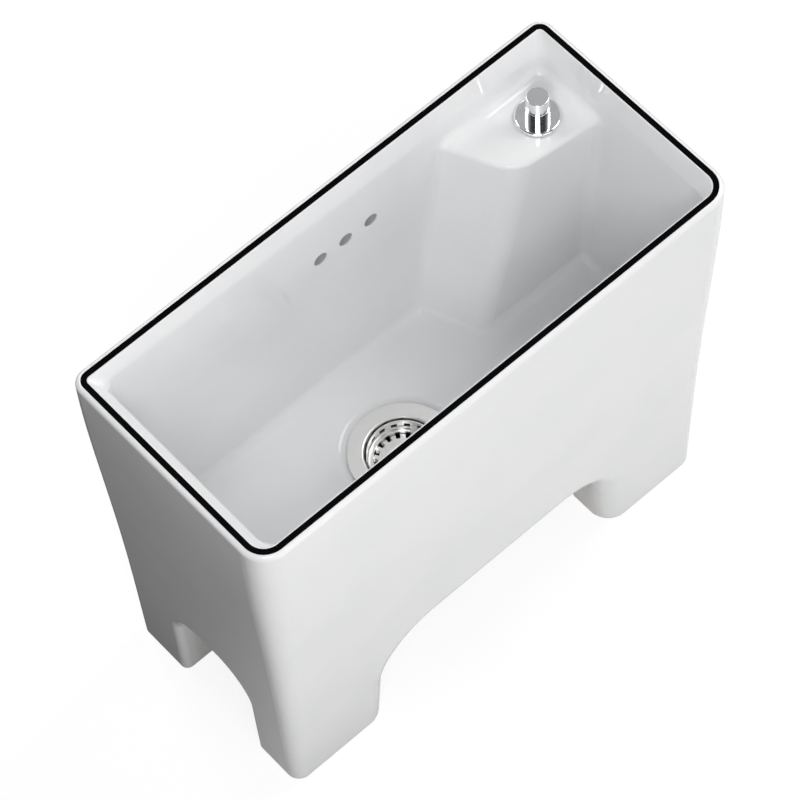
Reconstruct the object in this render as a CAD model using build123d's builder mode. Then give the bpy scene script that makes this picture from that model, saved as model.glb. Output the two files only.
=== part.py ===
"""Floor-standing ceramic mop sink with a basket drain worked by a push button.

The sink is one glazed casting: a deep tapered basin over four hollow feet, with a corner ledge
that carries the button, a cast overflow duct in the back wall and a well round the drain.
The frame has +X along the long side, +Y towards the room's wall and +Z up, with its origin on the
floor under the middle of the rim. All sizes are millimetres.
"""

import os
from math import hypot

from build123d import *

os.makedirs("parts", exist_ok=True)

# Casting: outside
rim_length = 570.0
rim_width = 260.0
body_height = 500.0
shoulder_drop = 60.0
shoulder_inset_end = 1.2
shoulder_inset_side = 0.8
waist_height = 300.0
waist_inset_end = 8.4
waist_inset_side = 6.0
hip_height = 190.0
hip_inset_end = 13.8
hip_inset_side = 9.9
foot_inset_end = 20.0
foot_inset_side = 14.3
rim_corner_front = 28.0
rim_corner_back = 16.0
waist_corner_front = 23.0
waist_corner_back = 13.0
hip_corner_front = 19.0
hip_corner_back = 11.0
foot_corner_front = 14.0
foot_corner_back = 8.0
rim_round = 5.0

# Casting: dark glaze line on the rim
glaze_inset = 5.0
glaze_width = 5.7
glaze_height = 0.8
glaze_round = 0.5

# Casting: inside of the basin
floor_z = 203.0
floor_thickness = 11.0
opening_margin = 1.2
lip_depth = 23.5
lip_tilt_drop = 13.0
lip_inset_left = 13.0
lip_inset_right = 4.0
lip_inset_side = 5.0
lip_round = 16.0
lip_corner_front = 18.0
lip_corner_back = 12.0
opening_round = 1.0
floor_inset_left = 27.0
floor_inset_right = 23.0
floor_inset_side = 21.0
basin_corner_front = 20.0
basin_corner_back = 16.0
floor_round = 9.5

# Casting: ledge for the button and the pillar under it
ledge_drop = 54.0
ledge_thickness = 10.0
ledge_length = 95.0
ledge_depth = 69.6
ledge_back_length = 130.0
ledge_end_depth = 80.7
ledge_corner = 38.0
pillar_length = 136.0
pillar_depth = 65.0
pillar_back_length = 162.0
pillar_corner = 16.0
pillar_round = 10.0
ledge_round = 5.0
pillar_wall = 10.0
pillar_hollow_length = 112.0
pillar_hollow_head = 78.0

# Casting: feet and arches
front_arch_half_width = 146.5
front_arch_crown = 139.0
front_arch_height = 122.0
front_arch_corner = 60.0
front_arch_round = 24.0
end_arch_y = -3.0
end_arch_half_width = 52.5
end_arch_crown = 51.5
end_arch_height = 134.0
end_arch_corner = 43.0
end_arch_round = 8.0
skirt_wall = 14.0
foot_wall = 11.0
foot_corner = 14.0
pocket_corner = 10.0
cable_hole_radius = 10.0
cable_hole_height = 165.0

# Casting: overflow holes and the duct behind them
overflow_count = 3
overflow_pitch = 31.0
overflow_radius = 7.7
overflow_drop = 87.0
overflow_x = 23.0
duct_gap = 5.5
duct_skin = 5.5
duct_head_length = 88.0
duct_head_height = 24.0
duct_foot_length = 40.0
duct_foot_height = 10.0
duct_ceiling = 8.0
duct_floor_skin = 8.0
duct_side_skin = 8.0

# Casting: well round the drain
drain_x = -15.0
well_radius = 44.0
well_boss_radius = 60.0
recess_depth = 3.0
recess_radius = 56.0
recess_slope = 6.0
recess_round = 9.0

# Drain: strainer body
flange_radius = 54.0
flange_thickness = 1.5
flange_round = 0.6
flange_seal_thickness = 1.5
flange_seal_inset = 1.0
mouth_round = 2.0
neck_radius = 41.0
neck_spare = 3.0
shelf_drop = 13.5
shelf_thickness = 2.0
shelf_radius = 30.8
bowl_radius = 37.6
outlet_radius = 22.0
outlet_wall = 5.0
outlet_length = 18.0
neck_slot_count = 4
neck_slot_width = 18.0

# Drain: seals and nut under the casting
lower_seal_thickness = 3.0
lower_seal_radius = 56.0
slip_ring_thickness = 1.5
slip_ring_inset = 2.0
locknut_height = 12.0
locknut_radius = 50.0
locknut_lugs = 6
locknut_lug_length = 5.0
locknut_lug_width = 14.0
locknut_round = 1.5
thread_gap = 0.15

# Drain: basket
basket_sheet = 1.0
basket_wall_gap = 1.9
basket_wall_height = 11.8
basket_wall_round = 2.0
basket_slot_count = 17
basket_slot_width = 6.2
basket_slot_height = 5.2
basket_slot_rise = 4.5
basket_step = 5.4
basket_cup_depth = 8.5
basket_notch_width = 4.6
basket_notch_length = 5.5
basket_notch_height = 6.5
basket_hub_radius = 16.0
basket_hub_rise = 3.0

# Drain: toothed plate in the basket, with its cap and screw
plate_radius = 28.7
plate_thickness = 1.2
plate_tooth_count = 18
plate_notch_width = 4.6
plate_notch_length = 4.2
plate_notch_round = 0.6
plate_rib_radius = 21.6
plate_rib_length = 3.6
plate_rib_width = 2.2
plate_rib_height = 0.5
knob_radius = 18.7
knob_height = 1.8
knob_round = 0.8
knob_dish = 9.0
knob_dish_depth = 0.5
knob_spigot_radius = 5.0
basket_screw_radius = 2.5
basket_screw_head_radius = 7.5
basket_screw_head_height = 2.0
basket_screw_bite = 2.6

# Valve: housing hung from the strainer body
outlet_seal_thickness = 2.0
housing_collar = 4.0
housing_wall = 3.0
housing_length = 68.0
coupling_nut_height = 25.0
nut_wall = 5.0
nut_lip = 3.0
nut_rib_count = 12
nut_rib_radius = 1.8
valve_seat_drop = 8.0
valve_seat_thickness = 4.0
valve_seat_opening = 15.5
guide_drop = 16.0
guide_thickness = 4.0
guide_step = 1.0
guide_rim = 3.0
guide_hub_radius = 6.5
guide_spokes = 3
guide_spoke_width = 3.5

# Valve: poppet
valve_seal_thickness = 2.5
valve_seal_radius = 18.5
valve_disc_radius = 19.5
valve_disc_thickness = 3.0
valve_disc_round = 1.0
valve_stem_radius = 3.0
valve_foot_radius = 6.0
valve_foot_thickness = 2.5
valve_stem_bite = 2.0
running_gap = 0.06
fit_gap = 0.03
lift_gap = 0.5

# Valve: spindle, gland and lever
spindle_height = 32.0
spindle_radius = 3.0
finger_length = 14.0
finger_nose_radius = 4.0
finger_hub_wall = 1.0
finger_width = 7.0
boss_radius = 9.0
boss_reach = 27.0
gland_thread_radius = 7.5
gland_thread_length = 8.5
blind_boss_radius = 6.5
blind_boss_reach = 25.0
blind_boss_cap = 3.0
o_ring_radius = 5.2
gland_nut_flats = 20.0
gland_nut_cap = 3.0
lever_gap = 2.0
lever_thickness = 4.0
lever_hub_radius = 7.0
lever_arm_length = 18.0
lever_tip_radius = 4.2
spindle_overhang = 2.0
spindle_end_round = 0.6
lever_screw_radius = 1.5
cable_pin_radius = 1.5
cable_pin_head = 2.8
cable_pin_head_height = 1.5
cable_pin_spare = 1.0

# Valve: bracket for the sheath of the cable
bracket_thickness = 2.0
bracket_from_drain = 22.0
bracket_width = 20.0
bracket_tab_reach = 24.0
bracket_tab_height = 12.0
sheath_screw_radius = 3.4
sheath_screw_bore = 1.2
sheath_screw_length = 18.0
sheath_nut_flats = 10.0
sheath_nut_height = 3.0

# Waste connection
slip_nut_height = 16.0
tail_seal_thickness = 2.0
tail_collar = 3.0
tail_radius = 20.0
tail_wall = 2.4
tail_floor_gap = 14.0
tail_bevel = 0.8
tail_neck_relief = 0.3
tail_neck_length = 5.5

# Button: sleeve through the ledge
button_from_end = 40.0
button_from_back = 39.0
escutcheon_radius = 22.8
escutcheon_thickness = 3.0
escutcheon_round = 2.2
deck_seal_thickness = 1.0
deck_seal_inset = 0.8
collar_wall = 0.85
collar_height = 15.0
collar_round = 0.4
sleeve_radius = 14.0
sleeve_length = 44.0
ledge_hole_gap = 1.2
under_seal_thickness = 3.0
under_seal_radius = 20.0
under_washer_thickness = 1.5
barrel_nut_height = 8.0
barrel_nut_flats = 34.0

# Button: cap, rod and spring
cap_radius = 10.9
cap_stand = 34.0
cap_height = 28.0
cap_wall = 1.6
cap_round = 0.8
cap_boss_radius = 5.5
cap_boss_depth = 8.0
rod_bite = 6.0
rod_radius = 3.0
rod_collar_radius = 8.5
rod_collar_thickness = 3.0
rod_collar_drop = 34.0
bush_thickness = 10.0
clip_thickness = 1.2
clip_radius = 6.0
clip_groove = 0.6
clip_play = 0.1
rod_tail = 6.0
spring_radius = 6.4
spring_wire_radius = 0.7
spring_turns = 5
spring_end_gap = 0.1

# Button: socket for the upper end of the cable's sheath
socket_wall = 3.0
socket_bite = 8.0
socket_length = 34.0
socket_bore_radius = 10.0
socket_floor = 4.0
socket_foot_radius = 8.0
socket_foot_length = 6.0

# Levels and places worked out from the sizes above
body_top = body_height - glaze_height
shoulder_z = body_height - shoulder_drop
floor_underside = floor_z - floor_thickness
ledge_z = body_height - ledge_drop
opening_inset = glaze_inset + glaze_width + opening_margin
opening_length = rim_length - 2 * opening_inset
opening_width = rim_width - 2 * opening_inset
lip_left = lip_inset_left - opening_length / 2
lip_right = opening_length / 2 - lip_inset_right
lip_side = opening_width / 2 - lip_inset_side
lip_span = lip_right - lip_left
floor_left = floor_inset_left - rim_length / 2
floor_right = rim_length / 2 - floor_inset_right
floor_side = rim_width / 2 - floor_inset_side
button_x = lip_right - button_from_end
button_y = lip_side - button_from_back


def tub_outline(length, width, front_radius, back_radius, centre_x=0.0):
    """Rectangle whose corners on the wall side are tighter than those on the room side."""
    with BuildSketch(mode=Mode.PRIVATE) as outline:
        with Locations((centre_x, 0)):
            Rectangle(length, width)
        fillet(outline.vertices().sort_by(Axis.Y)[:2], front_radius)
        fillet(outline.vertices().sort_by(Axis.Y)[-2:], back_radius)
    return outline.sketch


def pillar_outline(corner, back, end, corner_radius):
    """Plan of the corner pillar, run on past the two basin walls that it grows out of."""
    corner, back, end = Vector(*corner), Vector(*back), Vector(*end)
    past_back = corner + (back - corner) * 1.5
    past_end = corner + (end - corner) * 1.5
    with BuildSketch(mode=Mode.PRIVATE) as outline:
        with BuildLine():
            Polyline(corner, past_end, (past_end.X, past_back.Y), past_back, close=True)
        make_face()
        fillet(outline.vertices().sort_by(lambda v: v.X + v.Y)[0], corner_radius)
    return outline.sketch


def level(z, tolerance=0.3):
    """Filter for edges that lie flat at the height z."""
    return lambda e: max(abs(e.bounding_box().min.Z - z), abs(e.bounding_box().max.Z - z)) < tolerance


def arch_outline(half_width, crown, height, corner):
    """Arch drawn from its springing on the floor, with sides that lean in and round shoulders."""
    with BuildSketch(mode=Mode.PRIVATE) as outline:
        with BuildLine():
            Polyline((-half_width, 0), (-crown, height), (crown, height), (half_width, 0), close=True)
        make_face()
        fillet(outline.vertices().group_by(Axis.Y)[-1], corner)
    return outline.sketch


def hollow_outline(x_near, x_far, y_near, y_far):
    """Plan of a hollow in the casting between two pairs of walls, with rounded corners."""
    with BuildSketch(mode=Mode.PRIVATE) as outline:
        with Locations(((x_near + x_far) / 2, (y_near + y_far) / 2)):
            Rectangle(abs(x_far - x_near), abs(y_far - y_near))
        fillet(outline.vertices(), pocket_corner)
    return outline.sketch


# The air inside the basin: a flared lip under the rim, then nearly upright walls to the floor
lip_plane = Plane(
    origin=((lip_left + lip_right) / 2, 0, body_height - lip_depth),
    x_dir=(lip_span, 0, -lip_tilt_drop),
    z_dir=(lip_tilt_drop, 0, lip_span),
)
lip_outline = tub_outline(hypot(lip_span, lip_tilt_drop), 2 * lip_side, lip_corner_front, lip_corner_back)
pillar_y = floor_side - pillar_depth
ledge_end_y = lip_side - ledge_end_depth

with BuildPart() as pillar:
    with BuildSketch(Plane.XY.offset(floor_underside)):
        add(
            pillar_outline(
                (floor_right - pillar_length, pillar_y),
                (floor_right - pillar_back_length, floor_side),
                (floor_right, pillar_y),
                pillar_corner,
            )
        )
    with BuildSketch(Plane.XY.offset(ledge_z)):
        add(
            pillar_outline(
                (lip_right - ledge_length, lip_side - ledge_depth),
                (lip_right - ledge_back_length, lip_side),
                (lip_right, ledge_end_y),
                ledge_corner,
            )
        )
    loft(ruled=True)
    free_edges = pillar.edges().filter_by(level(ledge_z)).sort_by(lambda e: e.center().X + e.center().Y)
    fillet(free_edges[:3], ledge_round)

back_seam = (
    (floor_right - pillar_back_length + lip_right - ledge_back_length) / 2,
    (floor_side + lip_side) / 2,
    (floor_z + ledge_z) / 2,
)
end_seam = ((floor_right + lip_right) / 2, (pillar_y + ledge_end_y) / 2, (floor_z + ledge_z) / 2)

with BuildPart() as basin:
    with BuildSketch(Plane.XY.offset(body_top)):
        add(
            tub_outline(
                opening_length,
                opening_width,
                rim_corner_front - opening_inset,
                rim_corner_back - opening_inset,
            )
        )
    with BuildSketch(lip_plane):
        add(lip_outline)
    loft(ruled=True)
    with BuildSketch(lip_plane):
        add(lip_outline)
    with BuildSketch(Plane.XY.offset(floor_z)):
        add(
            tub_outline(
                floor_right - floor_left,
                2 * floor_side,
                basin_corner_front,
                basin_corner_back,
                (floor_left + floor_right) / 2,
            )
        )
    loft(ruled=True)
    fillet(basin.edges().filter_by(lambda e: abs(lip_plane.to_local_coords(e.center()).Z) < 0.2), lip_round)
    add(pillar.part, mode=Mode.SUBTRACT)
    tall = basin.edges().filter_by(lambda e: e.bounding_box().size.Z > (ledge_z - floor_z) / 2)
    seams = [tall.sort_by_distance(back_seam)[0], tall.sort_by_distance(end_seam)[0]]
    fillet(seams, pillar_round)
    fillet(basin.edges().filter_by(level(floor_z)), floor_round)

# Levels and outlines under the floor
foot_x = rim_length / 2 - foot_inset_end
foot_y = rim_width / 2 - foot_inset_side
flare = floor_underside / hip_height
side_at_floor = foot_y + (foot_inset_side - hip_inset_side) * flare
end_at_floor = foot_x + (foot_inset_end - hip_inset_end) * flare
duct_top = floor_underside - duct_ceiling
duct_bottom = duct_top - duct_foot_height
boss_bottom = duct_bottom - duct_floor_skin
duct_outer_y = rim_width / 2 - duct_skin
overflow_z = body_height - overflow_drop
shaft_top = ledge_z - ledge_thickness
recess_z = floor_z - recess_depth

# The duct seen from the front: wide behind the holes, narrowing to the port of the well
duct_left, duct_right = overflow_x - duct_head_length / 2, overflow_x + duct_head_length / 2
port_left, port_right = drain_x - duct_foot_length / 2, drain_x + duct_foot_length / 2
head_top, head_bottom = overflow_z + duct_head_height / 2, overflow_z - duct_head_height / 2
with BuildSketch(mode=Mode.PRIVATE) as duct_outline:
    with BuildLine():
        Polyline(
            (duct_left, head_bottom),
            (duct_left, head_top),
            (duct_right, head_top),
            (duct_right, head_bottom),
            (port_right, duct_top),
            (port_right, duct_bottom),
            (port_left, duct_bottom),
            (port_left, duct_top),
            close=True,
        )
    make_face()

with BuildPart() as ceramic_body:
    for z, inset_end, inset_side, front_radius, back_radius in (
        (0.0, foot_inset_end, foot_inset_side, foot_corner_front, foot_corner_back),
        (hip_height, hip_inset_end, hip_inset_side, hip_corner_front, hip_corner_back),
        (waist_height, waist_inset_end, waist_inset_side, waist_corner_front, waist_corner_back),
        (shoulder_z, shoulder_inset_end, shoulder_inset_side, rim_corner_front, rim_corner_back),
        (body_top, 0.0, 0.0, rim_corner_front, rim_corner_back),
    ):
        with BuildSketch(Plane.XY.offset(z)):
            add(
                tub_outline(
                    rim_length - 2 * inset_end, rim_width - 2 * inset_side, front_radius, back_radius
                )
            )
    loft()
    fillet(ceramic_body.edges().filter_by(level(body_top)), rim_round)

    # Arches from front to back and from end to end, with rounded edges outside
    with BuildSketch(Plane.XZ):
        add(arch_outline(front_arch_half_width, front_arch_crown, front_arch_height, front_arch_corner))
    extrude(amount=rim_width, both=True, mode=Mode.SUBTRACT)
    with BuildSketch(Plane.YZ):
        with Locations((end_arch_y, 0)):
            add(arch_outline(end_arch_half_width, end_arch_crown, end_arch_height, end_arch_corner))
    extrude(amount=rim_length, both=True, mode=Mode.SUBTRACT)
    arch_edges = ceramic_body.edges().filter_by(
        lambda e: 0 < e.center().Z <= max(front_arch_height, end_arch_height) + 1
        and e.bounding_box().min.Z > -1
        and max(e.bounding_box().size) > end_arch_round
    )
    fillet(
        arch_edges.filter_by(
            lambda e: abs(e.center().Y) > foot_y - 1 and abs(e.center().X) < front_arch_half_width + 1
        ),
        front_arch_round,
    )
    fillet(
        arch_edges.filter_by(
            lambda e: abs(e.center().X) > foot_x - 1
            and abs(e.center().Y - end_arch_y) < end_arch_half_width + 1
        ),
        end_arch_round,
    )
    fillet(
        ceramic_body.edges().filter_by(
            lambda e: e.bounding_box().size.Z > end_arch_height / 3
            and abs(abs(e.center().X) - front_arch_crown) < foot_wall
            and abs(abs(e.center().Y - end_arch_y) - end_arch_crown) < foot_wall
        ),
        foot_corner,
    )

    # Space under the floor, between the skirts and inside each hollow foot
    with BuildSketch():
        Rectangle(2 * front_arch_crown, 2 * (foot_y - skirt_wall))
        with Locations((0, end_arch_y)):
            Rectangle(2 * (foot_x - skirt_wall), 2 * end_arch_crown)
    extrude(amount=floor_underside, mode=Mode.SUBTRACT)
    for x_side in (-1, 1):
        for y_side in (-1, 1):
            with BuildSketch():
                add(
                    hollow_outline(
                        x_side * (front_arch_half_width + foot_wall),
                        x_side * (foot_x - foot_wall),
                        end_arch_y + y_side * (end_arch_half_width + foot_wall),
                        y_side * (foot_y - foot_wall),
                    )
                )
            with BuildSketch(Plane.XY.offset(floor_underside)):
                add(
                    hollow_outline(
                        x_side * (front_arch_crown + foot_wall),
                        x_side * (end_at_floor - foot_wall),
                        end_arch_y + y_side * (end_arch_crown + foot_wall),
                        y_side * (side_at_floor - foot_wall),
                    )
                )
            loft(ruled=True, mode=Mode.SUBTRACT)

    # Boss round the well, and the swelling of the back wall that holds the overflow duct
    with BuildSketch(Plane.XY.offset(floor_underside)):
        with Locations((drain_x, 0)):
            Circle(well_boss_radius)
        with Locations((drain_x, side_at_floor / 2)):
            Rectangle(duct_foot_length + 2 * duct_side_skin, side_at_floor)
    extrude(amount=boss_bottom - floor_underside)
    with BuildSketch(Plane.XZ.offset(-rim_width / 2)):
        offset(duct_outline.sketch, amount=duct_side_skin, kind=Kind.INTERSECTION)
    extrude(amount=rim_width / 2 - floor_side)

    # Basin, and the hollow inside the pillar under the ledge
    add(basin.part, mode=Mode.SUBTRACT)
    with BuildSketch(Plane.XY.offset(floor_underside)):
        add(
            hollow_outline(
                floor_right - pillar_hollow_length,
                floor_right - pillar_wall / 2,
                pillar_y + pillar_wall,
                side_at_floor - foot_wall,
            )
        )
    with BuildSketch(Plane.XY.offset(shaft_top)):
        add(
            hollow_outline(
                lip_right - pillar_hollow_head,
                lip_right - pillar_wall / 2,
                pillar_y + pillar_wall,
                lip_side,
            )
        )
    loft(ruled=True, mode=Mode.SUBTRACT)

    # Overflow: three holes into the duct, which runs down and under the floor to the well
    with BuildSketch(Plane.XZ.offset(-duct_outer_y)):
        add(duct_outline.sketch)
    extrude(amount=duct_gap, mode=Mode.SUBTRACT)
    with BuildSketch(Plane.XY.offset(duct_bottom)):
        with Locations((drain_x, duct_outer_y / 2)):
            Rectangle(duct_foot_length, duct_outer_y)
    extrude(amount=duct_foot_height, mode=Mode.SUBTRACT)
    with BuildSketch(Plane.XZ.offset(-duct_outer_y)):
        with Locations((overflow_x, overflow_z)):
            with GridLocations(overflow_pitch, 0, overflow_count, 1):
                Circle(overflow_radius)
    extrude(amount=2 * (duct_outer_y - lip_side), mode=Mode.SUBTRACT)

    # Well for the drain, with its recess in the floor
    with BuildSketch(Plane.XY.offset(boss_bottom)):
        with Locations((drain_x, 0)):
            Circle(well_radius)
    extrude(amount=floor_z - boss_bottom, mode=Mode.SUBTRACT)
    with BuildSketch(Plane.XY.offset(recess_z)):
        with Locations((drain_x, 0)):
            Circle(recess_radius)
    with BuildSketch(Plane.XY.offset(floor_z)):
        with Locations((drain_x, 0)):
            Circle(recess_radius + recess_slope)
    loft(mode=Mode.SUBTRACT)
    floor_circles = ceramic_body.edges().filter_by(level(floor_z)).filter_by(GeomType.CIRCLE)
    fillet(floor_circles.sort_by_distance((drain_x, 0, floor_z)).sort_by(SortBy.RADIUS)[-1], recess_round)

    # Hole through the ledge for the button, and the way of the cable out of the pillar's foot
    with BuildSketch(Plane.XY.offset(shaft_top)):
        with Locations((button_x, button_y)):
            Circle(sleeve_radius + ledge_hole_gap)
    extrude(amount=ledge_thickness, mode=Mode.SUBTRACT)
    with BuildSketch(Plane.YZ.offset(front_arch_crown)):
        with Locations((button_y, cable_hole_height)):
            Circle(cable_hole_radius)
    extrude(amount=2 * foot_wall, both=True, mode=Mode.SUBTRACT)
    rim_edges = ceramic_body.edges().filter_by(level(body_top))
    inner_rim = rim_edges.filter_by(
        lambda e: abs(e.center().X) < (opening_length + glaze_inset) / 2
        and abs(e.center().Y) < (opening_width + glaze_inset) / 2
    )
    fillet(inner_rim, opening_round)
ceramic_body.part.label = "ceramic_body"
export_step(ceramic_body.part, "parts/ceramic_body.step")

# Dark glaze line that runs round the top of the rim
with BuildPart() as rim_glaze_line:
    with BuildSketch(Plane.XY.offset(body_top)):
        for inset, mode in ((glaze_inset, Mode.ADD), (glaze_inset + glaze_width, Mode.SUBTRACT)):
            add(
                tub_outline(
                    rim_length - 2 * inset,
                    rim_width - 2 * inset,
                    rim_corner_front - inset,
                    rim_corner_back - inset,
                ),
                mode=mode,
            )
    extrude(amount=glaze_height)
    fillet(rim_glaze_line.edges().group_by(Axis.Z)[-1], glaze_round)
rim_glaze_line.part.label = "rim_glaze_line"
export_step(rim_glaze_line.part, "parts/rim_glaze_line.step")

# Heights and planes of the drain, from the flange in the recess down to the tail
flange_bottom = recess_z + flange_seal_thickness
flange_top = flange_bottom + flange_thickness
shelf_z = flange_top - shelf_drop
lower_seal_z = boss_bottom - lower_seal_thickness
slip_ring_z = lower_seal_z - slip_ring_thickness
locknut_z = slip_ring_z - locknut_height
neck_end = locknut_z - neck_spare
outlet_outer = outlet_radius + outlet_wall
outlet_top = neck_end - (neck_radius - outlet_outer)
outlet_end = outlet_top - outlet_length
collar_top = outlet_end - outlet_seal_thickness
collar_bottom = collar_top - housing_collar
housing_outer = outlet_radius + housing_wall
housing_end = collar_top - housing_length
drain_axis = Axis((drain_x, 0, 0), (0, 0, 1))
drain_section = Plane(origin=(drain_x, 0, 0), x_dir=(1, 0, 0), z_dir=(0, -1, 0))


def drain_plane(z):
    """Level plane at the height z, centred on the drain."""
    return Plane(origin=(drain_x, 0, z))


def ribbed_outline(radius):
    """Circle with grip ribs spaced evenly round it."""
    with BuildSketch(mode=Mode.PRIVATE) as outline:
        Circle(radius)
        with PolarLocations(radius, nut_rib_count):
            Circle(nut_rib_radius)
    return outline.sketch


with BuildPart() as strainer_body:
    with BuildSketch(drain_section):
        with BuildLine():
            Polyline(
                (bowl_radius, flange_top),
                (flange_radius, flange_top),
                (flange_radius, flange_bottom),
                (neck_radius, flange_bottom),
                (neck_radius, neck_end),
                (outlet_outer, outlet_top),
                (outlet_outer, outlet_end),
                (outlet_radius, outlet_end),
                (outlet_radius, neck_end - (bowl_radius - outlet_radius)),
                (bowl_radius, neck_end),
                (bowl_radius, shelf_z - shelf_thickness),
                (shelf_radius, shelf_z - shelf_thickness),
                (shelf_radius, shelf_z),
                (bowl_radius, shelf_z),
                close=True,
            )
        make_face()
    revolve(axis=drain_axis)
    mouth_edges = strainer_body.edges().filter_by(GeomType.CIRCLE).filter_by(level(flange_top))
    fillet(mouth_edges.sort_by(SortBy.RADIUS)[0], mouth_round)
    fillet(strainer_body.edges().filter_by(level(flange_top)).sort_by(SortBy.RADIUS)[-1], flange_round)
    with Locations(drain_plane(duct_bottom + duct_foot_height / 2)):
        with PolarLocations(neck_radius, neck_slot_count):
            Box(4 * (neck_radius - bowl_radius), neck_slot_width, duct_foot_height, mode=Mode.SUBTRACT)
strainer_body.part.label = "strainer_body"
export_step(strainer_body.part, "parts/strainer_body.step")

with BuildPart() as flange_seal:
    with BuildSketch(drain_plane(recess_z)):
        Circle(flange_radius - flange_seal_inset)
        Circle(neck_radius + thread_gap, mode=Mode.SUBTRACT)
    extrude(amount=flange_seal_thickness)
flange_seal.part.label = "flange_seal"
export_step(flange_seal.part, "parts/flange_seal.step")

with BuildPart() as lower_seal:
    with BuildSketch(drain_plane(lower_seal_z)):
        Circle(lower_seal_radius)
        Circle(neck_radius + thread_gap, mode=Mode.SUBTRACT)
    extrude(amount=lower_seal_thickness)
lower_seal.part.label = "lower_seal"
export_step(lower_seal.part, "parts/lower_seal.step")

with BuildPart() as slip_ring:
    with BuildSketch(drain_plane(slip_ring_z)):
        Circle(lower_seal_radius - slip_ring_inset)
        Circle(neck_radius + thread_gap, mode=Mode.SUBTRACT)
    extrude(amount=slip_ring_thickness)
slip_ring.part.label = "slip_ring"
export_step(slip_ring.part, "parts/slip_ring.step")

with BuildPart() as locknut:
    with BuildSketch(drain_plane(locknut_z)) as locknut_plan:
        Circle(locknut_radius)
        with PolarLocations(locknut_radius, locknut_lugs):
            Rectangle(2 * locknut_lug_length, locknut_lug_width)
        fillet(locknut_plan.vertices(), locknut_round)
        Circle(neck_radius + thread_gap, mode=Mode.SUBTRACT)
    extrude(amount=locknut_height)
locknut.part.label = "locknut"
export_step(locknut.part, "parts/locknut.step")

# Basket: one pressed sheet with a slotted wall, a step that rests on the shelf, and a notched cup
basket_outer = bowl_radius - basket_wall_gap
basket_inner = basket_outer - basket_sheet
basket_top = shelf_z + basket_wall_height
step_top = shelf_z + basket_sheet
cup_outer = basket_outer - basket_step
cup_inner = cup_outer - basket_sheet
cup_z = shelf_z - basket_cup_depth
hub_z = cup_z + basket_hub_rise
hub_top = hub_z + basket_sheet
plate_top = hub_top + plate_thickness
knob_top = plate_top + knob_height
with BuildPart() as strainer_basket:
    with BuildSketch(drain_section):
        with BuildLine():
            Polyline(
                (basket_outer, basket_top),
                (basket_inner, basket_top),
                (basket_inner, step_top),
                (cup_inner, step_top),
                (cup_inner, cup_z + basket_sheet),
                (basket_hub_radius + basket_sheet, cup_z + basket_sheet),
                (basket_hub_radius, hub_top),
                (knob_spigot_radius, hub_top),
                (knob_spigot_radius, hub_z),
                (basket_hub_radius - basket_sheet, hub_z),
                (basket_hub_radius, cup_z),
                (cup_outer, cup_z),
                (cup_outer, shelf_z),
                (basket_outer, shelf_z),
                close=True,
            )
        make_face()
    revolve(axis=drain_axis)
    basket_circles = strainer_basket.edges().filter_by(GeomType.CIRCLE)
    fillet(basket_circles.filter_by(level(step_top)).sort_by(SortBy.RADIUS)[-1], basket_wall_round)
    basket_circles = strainer_basket.edges().filter_by(GeomType.CIRCLE)
    fillet(
        basket_circles.filter_by(level(shelf_z)).sort_by(SortBy.RADIUS)[-1],
        basket_wall_round + basket_sheet,
    )
    with Locations(drain_plane(shelf_z + basket_slot_rise)):
        with PolarLocations(basket_outer, basket_slot_count):
            Box(4 * basket_sheet, basket_slot_width, basket_slot_height, mode=Mode.SUBTRACT)
    with Locations(drain_plane(cup_z)):
        with PolarLocations(cup_outer, plate_tooth_count):
            Box(2 * basket_notch_length, basket_notch_width, 2 * basket_notch_height, mode=Mode.SUBTRACT)
strainer_basket.part.label = "strainer_basket"
export_step(strainer_basket.part, "parts/strainer_basket.step")

# Plate over the cup, with teeth round its edge that catch hair and a pressed rib behind each tooth
with BuildPart() as tooth_plate:
    with BuildSketch(drain_plane(hub_top)) as plate_plan:
        Circle(plate_radius)
        with PolarLocations(plate_radius, plate_tooth_count):
            Rectangle(2 * plate_notch_length, plate_notch_width, mode=Mode.SUBTRACT)
        fillet(plate_plan.vertices(), plate_notch_round)
        Circle(knob_spigot_radius, mode=Mode.SUBTRACT)
    extrude(amount=plate_thickness)
    with BuildSketch(drain_plane(plate_top)):
        with PolarLocations(plate_rib_radius, plate_tooth_count):
            Rectangle(plate_rib_length, plate_rib_width)
    extrude(amount=plate_rib_height)
tooth_plate.part.label = "tooth_plate"
export_step(tooth_plate.part, "parts/tooth_plate.step")

with BuildPart() as basket_knob:
    with BuildSketch(drain_section):
        with BuildLine():
            Line((0, hub_z + basket_screw_bite), (0, knob_top - knob_dish_depth))
            ThreePointArc(
                (0, knob_top - knob_dish_depth),
                (knob_dish / 2, knob_top - knob_dish_depth * 0.75),
                (knob_dish, knob_top),
            )
            Polyline(
                (knob_dish, knob_top),
                (knob_radius, knob_top),
                (knob_radius, plate_top),
                (knob_spigot_radius, plate_top),
                (knob_spigot_radius, hub_z),
                (basket_screw_radius, hub_z),
                (basket_screw_radius, hub_z + basket_screw_bite),
                (0, hub_z + basket_screw_bite),
            )
        make_face()
    revolve(axis=drain_axis)
    fillet(basket_knob.edges().filter_by(level(knob_top)).sort_by(SortBy.RADIUS)[-1], knob_round)
basket_knob.part.label = "basket_knob"
export_step(basket_knob.part, "parts/basket_knob.step")

with BuildPart() as basket_screw:
    with BuildSketch(drain_plane(hub_z - basket_screw_head_height)):
        Circle(basket_screw_head_radius)
    extrude(amount=basket_screw_head_height)
    fillet(basket_screw.edges().group_by(Axis.Z)[0], basket_screw_head_height / 3)
    with BuildSketch(drain_plane(hub_z)):
        Circle(basket_screw_radius)
    extrude(amount=basket_screw_bite)
basket_screw.part.label = "basket_screw"
export_step(basket_screw.part, "parts/basket_screw.step")

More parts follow.
